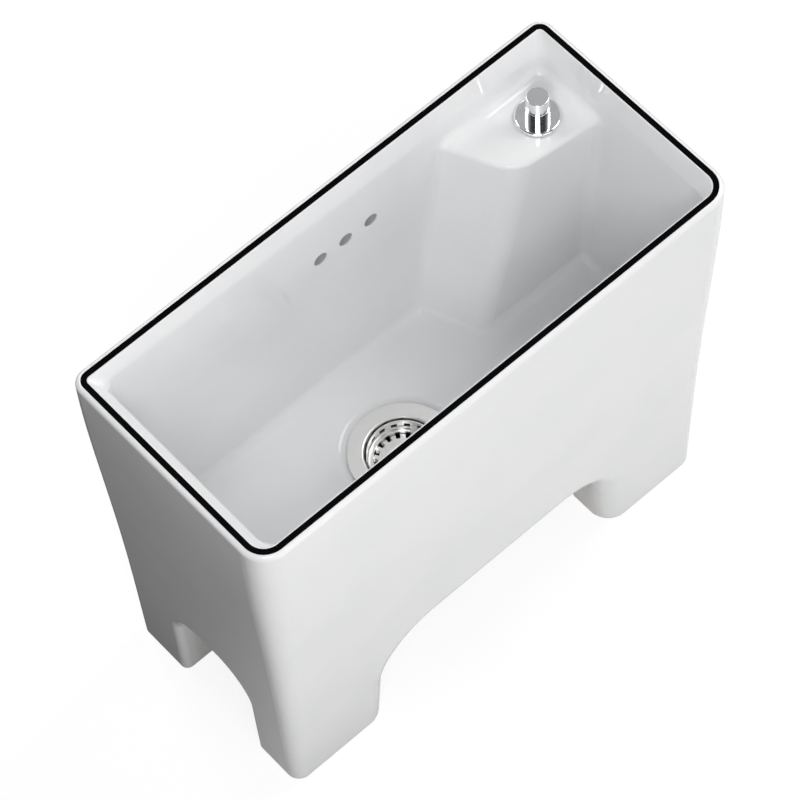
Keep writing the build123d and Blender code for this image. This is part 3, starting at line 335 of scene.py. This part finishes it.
@dataclass(frozen=True)
class Overflow:
    """Where the overflow holes and the duct behind them lie, which the white glaze greys as painted
    shade. All lengths are in metres.

    The duct leans to one side and widens as it rises, from `foot` on. `climb` is the share of its
    height that one metre adds.
    """

    wall_lean: float = 0.015
    bore_face: Span = (0.1066, 0.1072)
    bore_height: Span = (0.395, 0.4)
    near_face: Span = (0.1168, 0.1185)
    far_face: Span = (0.1252, 0.1262)
    foot: float = 0.184
    climb: float = 4.608
    drift: float = 0.038
    spread: float = 0.024
    side: Span = (0.023, 0.025)
    bottom: Span = (0.17, 0.19)
    top: Span = (0.43, 0.44)

    def mask(self, x: Value, y: Value, z: Value) -> Value:
        """Share of painted shade, grey in the holes and their duct.

        Args:
            x: place along the sink.
            y: place towards the wall.
            z: height.

        Returns:
            1 in the holes and their duct, and 0 elsewhere.
        """
        bores = (y - z * self.wall_lean).between(*self.bore_face)
        bores = bores * z.between(*self.bore_height)
        inside = (y.between(*self.near_face) + bores).clamp()
        inside = inside * (1.0 - y.between(*self.far_face))
        rise = ((z - self.foot) * self.climb).clamp()
        aside = (x - AXIS_DRAIN[0] - rise * self.drift).size() - rise * self.spread
        inside = inside * (1.0 - aside.between(*self.side))
        return inside * z.between(*self.bottom) * (1.0 - z.between(*self.top))


@dataclass(frozen=True)
class Skirt:
    """The hollow under the basin, where the glaze is a thin wash. All lengths are in metres."""

    ends: Span = (0.248, 0.262)
    sides: Span = (0.106, 0.118)
    roof: Span = (0.186, 0.19)

    def mask(self, x: Value, y: Value, z: Value, wander: Value) -> Value:
        """Share of thin wash.

        Args:
            x: place along the sink.
            y: place towards the wall.
            z: height.
            wander: how far the wash's edge strays.

        Returns:
            1 inside the skirts, and 0 elsewhere.
        """
        within_ends = 1.0 - (x.size() + wander).between(*self.ends)
        within_sides = 1.0 - (y.size() + wander).between(*self.sides)
        return within_ends * within_sides * (1.0 - z.between(*self.roof))


@dataclass(frozen=True)
class WhiteGlaze:
    """Thick white sanitary glaze, glossy, with bare clay where the feet stand, and painted shade in
    the overflow holes and their duct.
    """

    colour: Colour = (0.938, 0.94, 0.945)
    cloud: Colour = (0.912, 0.917, 0.926)
    speck: Colour = (0.55, 0.53, 0.5)
    clay: Colour = (0.72, 0.66, 0.58)
    # painted shade for the overflow holes and their duct
    shade: Colour = (0.5, 0.5, 0.5)
    gloss: float = 0.012
    bare_top: Span = (0.0009, 0.0016)
    bare_stray: float = 0.0012
    wash_stray: float = 0.012
    wave_depth: float = 0.00012
    peel_depth: float = 0.000006

    def build(self) -> bpy.types.Material:
        """The finished material."""
        s = Shade("white_glaze_finish")
        here = s.place()
        x, y, z = s.axes(here)
        cloud = s.noise(here, 0.11, 3.0)
        film = s.noise(here, 0.03, 4.0)
        speck = s.noise(here, 0.0016, 1.0).between(0.77, 0.83)
        edge = s.noise(here, 0.006, 2.0) * self.bare_stray
        bare = 1.0 - (z + edge).between(*self.bare_top)
        # Painted shade: the overflow holes and their duct are greyed where they lie in shadow.
        duct = Overflow().mask(x, y, z)
        wash = Skirt().mask(x, y, z, s.noise(here, 0.02, 3.0) * self.wash_stray)
        tint = s.blend(cloud.between(0.35, 0.7), self.colour, self.cloud)
        tint = s.blend(speck * 0.12, tint, self.speck)
        tint = s.blend(wash * (0.25 + film.between(0.45, 0.7) * 0.35), tint, self.clay)
        tint = s.blend(bare, tint, self.clay)
        tint = s.blend(duct, tint, self.shade)
        rough = self.gloss + film.between(0.4, 0.8) * 0.008 + wash * 0.3 + bare * 0.75
        waves = s.bump(s.noise(here, 0.06, 1.0), self.wave_depth)
        peel = s.bump(s.noise(here, 0.006, 1.0), self.peel_depth, waves)
        return s.finish({"Base Color": tint, "Roughness": rough, "IOR": 1.46, "Normal": peel})


@dataclass(frozen=True)
class BlackGlaze:
    """Glossy black line fired on the rim."""

    colour: Colour = (0.0015, 0.0015, 0.002)
    cloud: Colour = (0.003, 0.003, 0.0035)
    gloss: float = 0.05
    peel_depth: float = 0.00002

    def build(self) -> bpy.types.Material:
        """The finished material."""
        s = Shade("black_glaze_finish")
        here = s.place()
        cloud = s.noise(here, 0.02, 3.0)
        tint = s.blend(cloud.between(0.4, 0.8), self.colour, self.cloud)
        peel = s.bump(s.noise(here, 0.003, 1.0), self.peel_depth)
        return s.finish(
            {
                "Base Color": tint,
                "Roughness": self.gloss + cloud * 0.06,
                "IOR": 1.42,
                "Specular IOR Level": 0.06,
                "Normal": peel,
            }
        )


@dataclass(frozen=True)
class Metal:
    """Bare or plated metal, with handling marks and turning marks round one upright axis.

    A flag paints shade into a narrow ring about that axis, below a height, where the drain's bowl
    stands
    round its basket: the ring is made dark, matt and non-metal as the painted shadow of that gap.
    The ring's edges are squares of its radii.
    """

    name: str
    colour: Colour
    dull: Colour
    gloss: float
    wear: float
    mark: float = 0.0
    paints_gap_shade: bool = False
    gap_shade: Colour = (0.006, 0.006, 0.006)
    gap_shade_top: Span = (0.1995, 0.2005)
    ring_inner: Span = (0.0013, 0.00132)
    ring_outer: Span = (0.00146, 0.00148)
    axis: tuple[float, float, float] = AXIS_DRAIN
    mark_pitch: float = 0.00035
    grain_depth: float = 0.000004

    def build(self) -> bpy.types.Material:
        """The finished material."""
        s = Shade(self.name)
        here = s.place()
        smudge = s.noise(here, 0.012, 4.0)
        tint = s.blend(smudge.between(0.42, 0.75), self.colour, self.dull)
        rough = self.gloss + smudge.between(0.35, 0.8) * self.wear
        relief = s.bump(s.noise(here, 0.0007, 2.0), self.grain_depth)
        if self.mark:
            rings = s.rings(self.axis, self.mark_pitch)
            rough = rough + (rings - 0.5) * 0.06
            relief = s.bump(rings, self.mark, relief)
        metallic = 1.0
        # Painted shade: the shadowed gap round the drain's basket is made dark, matt and non-metal.
        if self.paints_gap_shade:
            x, y, z = s.axes(s.place(self.axis))
            reach = x * x + y * y
            gap_shade = (1.0 - z.between(*self.gap_shade_top)) * (1.0 - reach.between(*self.ring_outer))
            gap_shade = gap_shade * reach.between(*self.ring_inner)
            tint = s.blend(gap_shade, tint, self.gap_shade)
            rough = rough + gap_shade * 0.2
            metallic = 1.0 - gap_shade
        return s.finish(
            {"Base Color": tint, "Roughness": rough, "Metallic": metallic, "Normal": relief}
        )


@dataclass(frozen=True)
class Rubber:
    """Black sealing rubber with a matt bloom."""

    colour: Colour = (0.028, 0.028, 0.03)
    bloom: Colour = (0.07, 0.07, 0.07)
    grain_depth: float = 0.00002

    def build(self) -> bpy.types.Material:
        """The finished material."""
        s = Shade("rubber_finish")
        here = s.place()
        bloom = s.noise(here, 0.008, 4.0)
        tint = s.blend(bloom.between(0.45, 0.8), self.colour, self.bloom)
        relief = s.bump(s.noise(here, 0.0005, 2.0), self.grain_depth)
        return s.finish(
            {"Base Color": tint, "Roughness": 0.62 + bloom * 0.2, "Normal": relief}
        )


@dataclass(frozen=True)
class Moulded:
    """Injection-moulded plastic with a fine spark-eroded grain."""

    name: str
    colour: Colour
    pale: Colour
    gloss: float = 0.34
    grain_depth: float = 0.000012

    def build(self) -> bpy.types.Material:
        """The finished material."""
        s = Shade(self.name)
        here = s.place()
        flow = s.noise(here, 0.018, 3.0)
        tint = s.blend(flow.between(0.4, 0.75), self.colour, self.pale)
        scuff = s.noise(here, 0.004, 4.0).between(0.55, 0.8)
        relief = s.bump(s.noise(here, 0.0004, 1.0), self.grain_depth)
        return s.finish(
            {"Base Color": tint, "Roughness": self.gloss + scuff * 0.14, "Normal": relief}
        )


class Finishes:
    """Every finish of the sink, built once, and the CAD nodes that each one dresses."""

    def __init__(self) -> None:
        """Builds the materials."""
        steel = (0.62, 0.61, 0.6)
        self.by_slot = {
            Slot.WHITE_GLAZE: WhiteGlaze().build(),
            Slot.BLACK_GLAZE: BlackGlaze().build(),
            Slot.CHROME: Metal(
                "chrome_finish", (0.86, 0.87, 0.88), (0.8, 0.81, 0.82), 0.035, 0.05
            ).build(),
            Slot.SATIN_STEEL: Metal(
                "satin_steel_finish",
                (0.92, 0.915, 0.9),
                (0.89, 0.885, 0.87),
                0.29,
                0.04,
                mark=0.000002,
                # paints shade into the gap round the drain's basket
                paints_gap_shade=True,
            ).build(),
            Slot.STEEL: Metal("steel_finish", steel, (0.48, 0.47, 0.46), 0.26, 0.22).build(),
            Slot.BRASS: Metal(
                "brass_finish", (0.78, 0.6, 0.3), (0.55, 0.4, 0.2), 0.24, 0.2
            ).build(),
            Slot.RUBBER: Rubber().build(),
            Slot.GREY_PLASTIC: Moulded(
                "grey_plastic_finish", (0.4, 0.41, 0.42), (0.46, 0.47, 0.48)
            ).build(),
            Slot.WHITE_PLASTIC: Moulded(
                "white_plastic_finish", (0.8, 0.8, 0.78), (0.86, 0.86, 0.84)
            ).build(),
        }

    def dress(self, node: str, slot: Slot) -> None:
        """Gives a CAD node its finish.

        Args:
            node: the node's name.
            slot: the slot of its finish.
        """
        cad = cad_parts[node]
        for place in cad.material_slots:
            place.material = self.by_slot[slot]
        log.info("dressed %s as %s", node, slot.value)


@dataclass(frozen=True)
class Thread:
    """Rolled screw thread on a plain cylinder, as one ridge that winds round it."""

    name: str
    start: tuple[float, float, float]
    radius: float
    length: float
    pitch: float
    depth: float
    along: Along = Along.UP
    turn_points: int = 40
    ridge_points: int = 6

    def build(self, finish: bpy.types.Material) -> bpy.types.Object:
        """Makes the ridge with Geometry Nodes.

        Args:
            finish: its material.

        Returns:
            A plain mesh object at the origin.
        """
        tree = bpy.data.node_groups.new(f"{self.name}_nodes", "GeometryNodeTree")
        face = tree.interface
        sizes = {
            "Radius": self.radius,
            "Length": self.length,
            "Turns": self.length / self.pitch,
            "Depth": self.depth,
        }
        for label in sizes:
            face.new_socket(label, in_out="INPUT", socket_type="NodeSocketFloat")
        face.new_socket("Finish", in_out="INPUT", socket_type="NodeSocketMaterial")
        face.new_socket("Start", in_out="INPUT", socket_type="NodeSocketVector")
        face.new_socket("Turn", in_out="INPUT", socket_type="NodeSocketRotation")
        face.new_socket("Mesh", in_out="OUTPUT", socket_type="NodeSocketGeometry")
        add, join = tree.nodes.new, tree.links.new
        given, result = add("NodeGroupInput"), add("NodeGroupOutput")
        spiral = add("GeometryNodeCurveSpiral")
        spiral.inputs["Resolution"].default_value = self.turn_points
        join(given.outputs["Turns"], spiral.inputs["Rotations"])
        join(given.outputs["Radius"], spiral.inputs["Start Radius"])
        join(given.outputs["Radius"], spiral.inputs["End Radius"])
        join(given.outputs["Length"], spiral.inputs["Height"])
        ridge = add("GeometryNodeCurvePrimitiveCircle")
        ridge.inputs["Resolution"].default_value = self.ridge_points
        join(given.outputs["Depth"], ridge.inputs["Radius"])
        sweep = add("GeometryNodeCurveToMesh")
        sweep.inputs["Fill Caps"].default_value = True
        join(spiral.outputs[0], sweep.inputs["Curve"])
        join(ridge.outputs[0], sweep.inputs["Profile Curve"])
        put = add("GeometryNodeTransform")
        join(sweep.outputs[0], put.inputs["Geometry"])
        join(given.outputs["Start"], put.inputs["Translation"])
        join(given.outputs["Turn"], put.inputs["Rotation"])
        real = add("GeometryNodeRealizeInstances")
        join(put.outputs[0], real.inputs[0])
        paint = add("GeometryNodeSetMaterial")
        join(real.outputs[0], paint.inputs["Geometry"])
        join(given.outputs["Finish"], paint.inputs["Material"])
        join(paint.outputs[0], result.inputs[0])
        holder = bpy.data.objects.new(f"{self.name}_holder", bpy.data.meshes.new(self.name))
        bpy.context.scene.collection.objects.link(holder)
        modifier = holder.modifiers.new("thread", "NODES")
        modifier.node_group = tree
        for item in face.items_tree:
            if item.in_out == "INPUT":
                if item.name in sizes:
                    modifier[item.identifier] = sizes[item.name]
                elif item.name == "Finish":
                    modifier[item.identifier] = finish
                elif item.name == "Start":
                    modifier[item.identifier] = self.start
                else:
                    modifier[item.identifier] = self.along.value
        return plain(holder, self.name)

    def fit(self, finishes: Finishes, slot: Slot) -> None:
        """Makes the ridge and fixes it to the sink.

        Args:
            finishes: where its material comes from.
            slot: the slot of that material.
        """
        ridge = self.build(finishes.by_slot[slot])
        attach(ridge, "sink")
        log.info("cut %s with %d faces", self.name, len(ridge.data.polygons))


def plain(holder: bpy.types.Object, name: str) -> bpy.types.Object:
    """Turns what an object's modifiers make into a plain mesh object.

    Args:
        holder: the object with the modifiers, which is removed.
        name: the plain object's name.

    Returns:
        The plain mesh object at the origin.
    """
    bpy.context.view_layer.update()
    graph = bpy.context.evaluated_depsgraph_get()
    mesh = bpy.data.meshes.new_from_object(holder.evaluated_get(graph), depsgraph=graph)
    mesh.name = name
    bpy.data.objects.remove(holder)
    piece = bpy.data.objects.new(name, mesh)
    bpy.context.scene.collection.objects.link(piece)
    mesh.shade_smooth()
    return piece


class Group:
    """CAD nodes that are dressed together, and the details that the scene adds to them."""

    nodes: ClassVar[dict[str, Slot]] = {}

    def build(self, finishes: Finishes) -> None:
        """Dresses the nodes, then adds the details."""
        for node, slot in self.nodes.items():
            finishes.dress(node, slot)
        self.detail(finishes)

    def detail(self, finishes: Finishes) -> None:
        """Adds what the CAD model leaves out, which is nothing unless a group says otherwise."""


class Casting(Group):
    """The one glazed casting and the dark line on its rim."""

    nodes = {"ceramic_body": Slot.WHITE_GLAZE, "rim_glaze_line": Slot.BLACK_GLAZE}


@dataclass
class Drain(Group):
    """Strainer body with its basket, seals and nut."""

    thread_pitch: float = 2.0 * MM
    thread_depth: float = 0.45 * MM
    neck_radius: float = 40.8 * MM
    neck_rise: float = 32.6 * MM

    nodes = {
        "strainer_basket": Slot.SATIN_STEEL,
        "tooth_plate": Slot.SATIN_STEEL,
        "basket_knob": Slot.SATIN_STEEL,
        "basket_screw": Slot.SATIN_STEEL,
        "strainer_body": Slot.SATIN_STEEL,
        "flange_seal": Slot.RUBBER,
        "lower_seal": Slot.RUBBER,
        "slip_ring": Slot.GREY_PLASTIC,
        "locknut": Slot.GREY_PLASTIC,
        "outlet_seal": Slot.RUBBER,
        "coupling_nut": Slot.GREY_PLASTIC,
    }

    def detail(self, finishes: Finishes) -> None:
        """Adds the thread below the drain's nut."""
        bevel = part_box("strainer_body")[0].z + self.neck_rise
        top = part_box("locknut")[0].z
        Thread(
            "neck_thread",
            (AXIS_DRAIN[0], AXIS_DRAIN[1], bevel),
            self.neck_radius,
            top - bevel,
            self.thread_pitch,
            self.thread_depth,
        ).fit(finishes, Slot.SATIN_STEEL)


@dataclass
class Valve(Group):
    """Housing under the drain with its poppet, spindle, lever and waste connection."""

    tail_spare: float = 1.0 * MM
    tail_radius: float = 24.8 * MM
    tail_length: float = 5.0 * MM
    tail_pitch: float = 2.0 * MM
    tail_depth: float = 0.45 * MM

    nodes = {
        "valve_housing": Slot.WHITE_PLASTIC,
        "stem_guide": Slot.WHITE_PLASTIC,
        "valve_disc": Slot.WHITE_PLASTIC,
        "valve_seal": Slot.RUBBER,
        "valve_stem": Slot.STEEL,
        "lift_spindle": Slot.STEEL,
        "spindle_o_ring": Slot.RUBBER,
        "gland_nut": Slot.BRASS,
        "lever_arm": Slot.STEEL,
        "lever_screw": Slot.STEEL,
        "cable_pin": Slot.BRASS,
        "cable_bracket": Slot.STEEL,
        "lower_sheath_screw": Slot.BRASS,
        "lower_sheath_nuts": Slot.BRASS,
        "tail_seal": Slot.RUBBER,
        "slip_nut": Slot.GREY_PLASTIC,
        "tailpiece": Slot.WHITE_PLASTIC,
    }

    def detail(self, finishes: Finishes) -> None:
        """Adds the threads of the tail and of the cable's adjuster."""
        nut_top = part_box("slip_nut")[1].z
        Thread(
            "tail_thread",
            (AXIS_DRAIN[0], AXIS_DRAIN[1], nut_top + self.tail_spare),
            self.tail_radius,
            self.tail_length,
            self.tail_pitch,
            self.tail_depth,
        ).fit(finishes, Slot.WHITE_PLASTIC)
        near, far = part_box("lower_sheath_screw")
        nuts_near, nuts_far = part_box("lower_sheath_nuts")
        for name, start, end in (
            ("lower_sheath_thread_inner", near.x, nuts_near.x),
            ("lower_sheath_thread_outer", nuts_far.x, far.x),
        ):
            Thread(
                name,
                (start + SHEATH_SPARE, (near.y + far.y) / 2, (near.z + far.z) / 2),
                SHEATH_RADIUS,
                end - start - 2 * SHEATH_SPARE,
                SHEATH_PITCH,
                SHEATH_DEPTH,
                Along.TO_END,
            ).fit(finishes, Slot.BRASS)


@dataclass
class Button(Group):
    """Push button with its sleeve through the ledge and the socket for the cable."""

    sleeve_spare: float = 0.8 * MM
    sleeve_radius: float = 13.85 * MM
    sleeve_pitch: float = 1.5 * MM
    sleeve_depth: float = 0.32 * MM

    nodes = {
        "button_cap": Slot.CHROME,
        "button_escutcheon": Slot.CHROME,
        "push_rod": Slot.STEEL,
        "rod_clip": Slot.STEEL,
        "return_spring": Slot.STEEL,
        "guide_bush": Slot.WHITE_PLASTIC,
        "deck_seal": Slot.RUBBER,
        "under_ledge_seal": Slot.RUBBER,
        "under_ledge_washer": Slot.STEEL,
        "barrel_nut": Slot.BRASS,
        "cable_socket": Slot.GREY_PLASTIC,
        "upper_sheath_screw": Slot.BRASS,
        "upper_sheath_nut": Slot.BRASS,
    }

    def coil(self) -> None:
        """Puts a plain copy of the stiff spring in its place, and hides the stiff one."""
        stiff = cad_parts["return_spring"]
        bpy.context.view_layer.update()
        mesh = stiff.data.copy()
        mesh.transform(stiff.matrix_world)
        coil = bpy.data.objects.new("return_spring_coil", mesh)
        bpy.context.scene.collection.objects.link(coil)
        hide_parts("return_spring")
        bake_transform(coil)

    def detail(self, finishes: Finishes) -> None:
        """Adds the button's spring and the threads of its sleeve and adjuster."""
        self.coil()
        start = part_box("cable_socket")[1].z + self.sleeve_spare
        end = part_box("barrel_nut")[0].z - self.sleeve_spare
        Thread(
            "sleeve_thread",
            (AXIS_BUTTON[0], AXIS_BUTTON[1], start),
            self.sleeve_radius,
            end - start,
            self.sleeve_pitch,
            self.sleeve_depth,
        ).fit(finishes, Slot.CHROME)
        low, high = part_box("upper_sheath_screw")
        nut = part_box("upper_sheath_nut")[0].z
        Thread(
            "upper_sheath_thread",
            ((low.x + high.x) / 2, (low.y + high.y) / 2, low.z + SHEATH_SPARE),
            SHEATH_RADIUS,
            nut - low.z - 2 * SHEATH_SPARE,
            SHEATH_PITCH,
            SHEATH_DEPTH,
        ).fit(finishes, Slot.BRASS)


@dataclass(frozen=True)
class Lamp:
    """One soft lamp that points at the sink."""

    name: str
    place: tuple[float, float, float]
    size: float
    power: float
    target: tuple[float, float, float] = (0.0, 0.0, 0.3)

    def build(self) -> None:
        """Hangs the lamp."""
        data = bpy.data.lights.new(self.name, "AREA")
        data.shape = "SQUARE"
        data.size = self.size
        data.energy = self.power
        lamp = bpy.data.objects.new(self.name, data)
        lamp.location = self.place
        aim = Vector(self.target) - Vector(self.place)
        lamp.rotation_mode = "QUATERNION"
        lamp.rotation_quaternion = aim.to_track_quat("-Z", "Y")
        bpy.context.scene.collection.objects.link(lamp)


@dataclass
class Studio:
    """Pale floor, soft lamps and the camera at the photograph's viewing angle."""

    lamp_table: ClassVar[tuple[Lamp, ...]] = (
        Lamp("near_lamp", (-1.3, -1.6, 3.0), 1.2, 41.0),
        Lamp("high_front_lamp", (0.1, -2.4, 2.8), 1.3, 4.5),
        Lamp("low_front_lamp", (-0.1, -2.8, 0.9), 1.6, 16.5),
        Lamp("left_front_lamp", (-2.0, -2.0, 1.4), 1.5, 12.0),
        Lamp("right_lamp", (2.8, -0.5, 1.4), 2.2, 33.0),
        Lamp("high_right_lamp", (1.7, 0.0, 2.9), 1.0, 18.0),
        Lamp("high_wall_lamp", (-0.2, 2.2, 2.8), 1.5, 30.0),
        Lamp("low_wall_lamp", (0.2, 2.6, 1.1), 1.6, 14.0),
    )

    floor_size: float = 12.0
    floor_drop: float = 0.0004
    floor_glow: float = 0.84
    front_skew: float = 0.3
    front_edge: Span = (-0.2, 0.35)
    bounce_back: Colour = (0.06, 0.06, 0.06)
    bounce_front: Colour = (0.62, 0.62, 0.62)
    pale_low: Colour = (0.205, 0.205, 0.205)
    pale_high: Colour = (0.215, 0.215, 0.215)
    eye: tuple[float, float, float] = (-1.173698, -1.429093, 3.562953)
    turn: tuple[float, float, float, float] = (0.9013419, 0.2420172, -0.0775438, -0.3507099)
    lens: float = 180.86
    fill: float = 0.05
    far_shade: float = 0.55
    near_shade: float = 0.4
    overhead: Span = (0.3, 0.75)
    eye_side: tuple[float, float] = (-0.63, -0.78)
    eye_edge: Span = (-0.2, 0.3)

    def camera(self) -> None:
        """Sets up the camera."""
        data = bpy.data.cameras.new("camera")
        data.lens = self.lens
        data.sensor_width = 36.0
        data.clip_end = 60.0
        camera = bpy.data.objects.new("camera", data)
        camera.location = self.eye
        camera.rotation_mode = "QUATERNION"
        camera.rotation_quaternion = Quaternion(self.turn)
        bpy.context.scene.collection.objects.link(camera)
        bpy.context.scene.camera = camera

    def lamps(self) -> None:
        """Hangs the soft lamps, which leave the left end in light shade."""
        for lamp in self.lamp_table:
            lamp.build()

    def seen(self, s: Shade) -> Value:
        """Share of a ray that comes from the camera, a reflection or a clear body."""
        path = s.node("ShaderNodeLightPath", {}, {}).outputs
        camera, glossy = Value(s, path["Is Camera Ray"]), Value(s, path["Is Glossy Ray"])
        return (camera + glossy + Value(s, path["Is Transmission Ray"])).clamp()

    def floor(self) -> None:
        """Lays the floor, which is dimmer behind the sink in reflections and in its bounce."""
        half, low = self.floor_size / 2, -self.floor_drop
        corners = [(-half, -half, low), (half, -half, low), (half, half, low), (-half, half, low)]
        mesh = bpy.data.meshes.new("floor")
        mesh.from_pydata(corners, [], [(0, 1, 2, 3)])
        floor = bpy.data.objects.new("floor", mesh)
        bpy.context.scene.collection.objects.link(floor)
        s = Shade("floor_finish")
        here = s.place()
        x, y, _ = s.axes(here)
        path = s.node("ShaderNodeLightPath", {}, {}).outputs
        front = (x * self.front_skew - y).between(*self.front_edge)
        glossy = Value(s, path["Is Glossy Ray"]) * front
        direct = Value(s, path["Is Camera Ray"]) + Value(s, path["Is Transmission Ray"]) + glossy
        cloud = s.noise(here, 0.6, 2.0)
        soft = s.blend(front, self.bounce_back, self.bounce_front)
        pale = s.blend(cloud, self.pale_low, self.pale_high)
        bounce = s.node("ShaderNodeBsdfDiffuse", {}, {"Color": soft})
        lit = s.node("ShaderNodeBsdfDiffuse", {}, {"Color": pale})
        glow = s.node(
            "ShaderNodeEmission", {}, {"Color": (1.0, 1.0, 1.0), "Strength": self.floor_glow}
        )
        white = s.node("ShaderNodeAddShader", {}, {0: lit.outputs[0], 1: glow.outputs[0]})
        mixed = s.node(
            "ShaderNodeMixShader",
            {},
            {0: direct.clamp(), 1: bounce.outputs[0], 2: white.outputs[0]},
        )
        s.node("ShaderNodeOutputMaterial", {}, {"Surface": mixed.outputs[0]})
        mesh.materials.append(s.material)

    def sky(self) -> None:
        """White surround for reflections, darker overhead, that adds a faint fill."""
        world = bpy.data.worlds.new("surround")
        bpy.context.scene.world = world
        s = Shade(world)
        direction = s.node("ShaderNodeTexCoord", {}, {}).outputs["Generated"]
        x, y, z = s.axes(direction)
        seen = self.seen(s)
        high = z.between(*self.overhead)
        near = (x * self.eye_side[0] + y * self.eye_side[1]).between(*self.eye_edge)
        shown = 1.0 - high * (self.far_shade + near * self.near_shade)
        strength = seen * shown + (1.0 - seen) * self.fill
        back = s.node("ShaderNodeBackground", {}, {"Color": (1.0, 1.0, 1.0), "Strength": strength})
        s.node("ShaderNodeOutputWorld", {}, {"Surface": back.outputs[0]})

    def build(self) -> None:
        """Sets up the whole studio."""
        self.camera()
        self.lamps()
        self.floor()
        self.sky()
        bpy.context.scene.view_settings.view_transform = "Standard"


def main() -> None:
    """Builds the sink's looks, then the studio, and keeps the sizes."""
    logging.basicConfig(level=logging.INFO, format="%(name)s: %(message)s")
    finishes = Finishes()
    for part in (Casting(), Drain(), Valve(), Button()):
        part.build(finishes)
        log.info("%s finished", type(part).__name__)
    Studio().build()


if __name__ == "__main__":
    main()
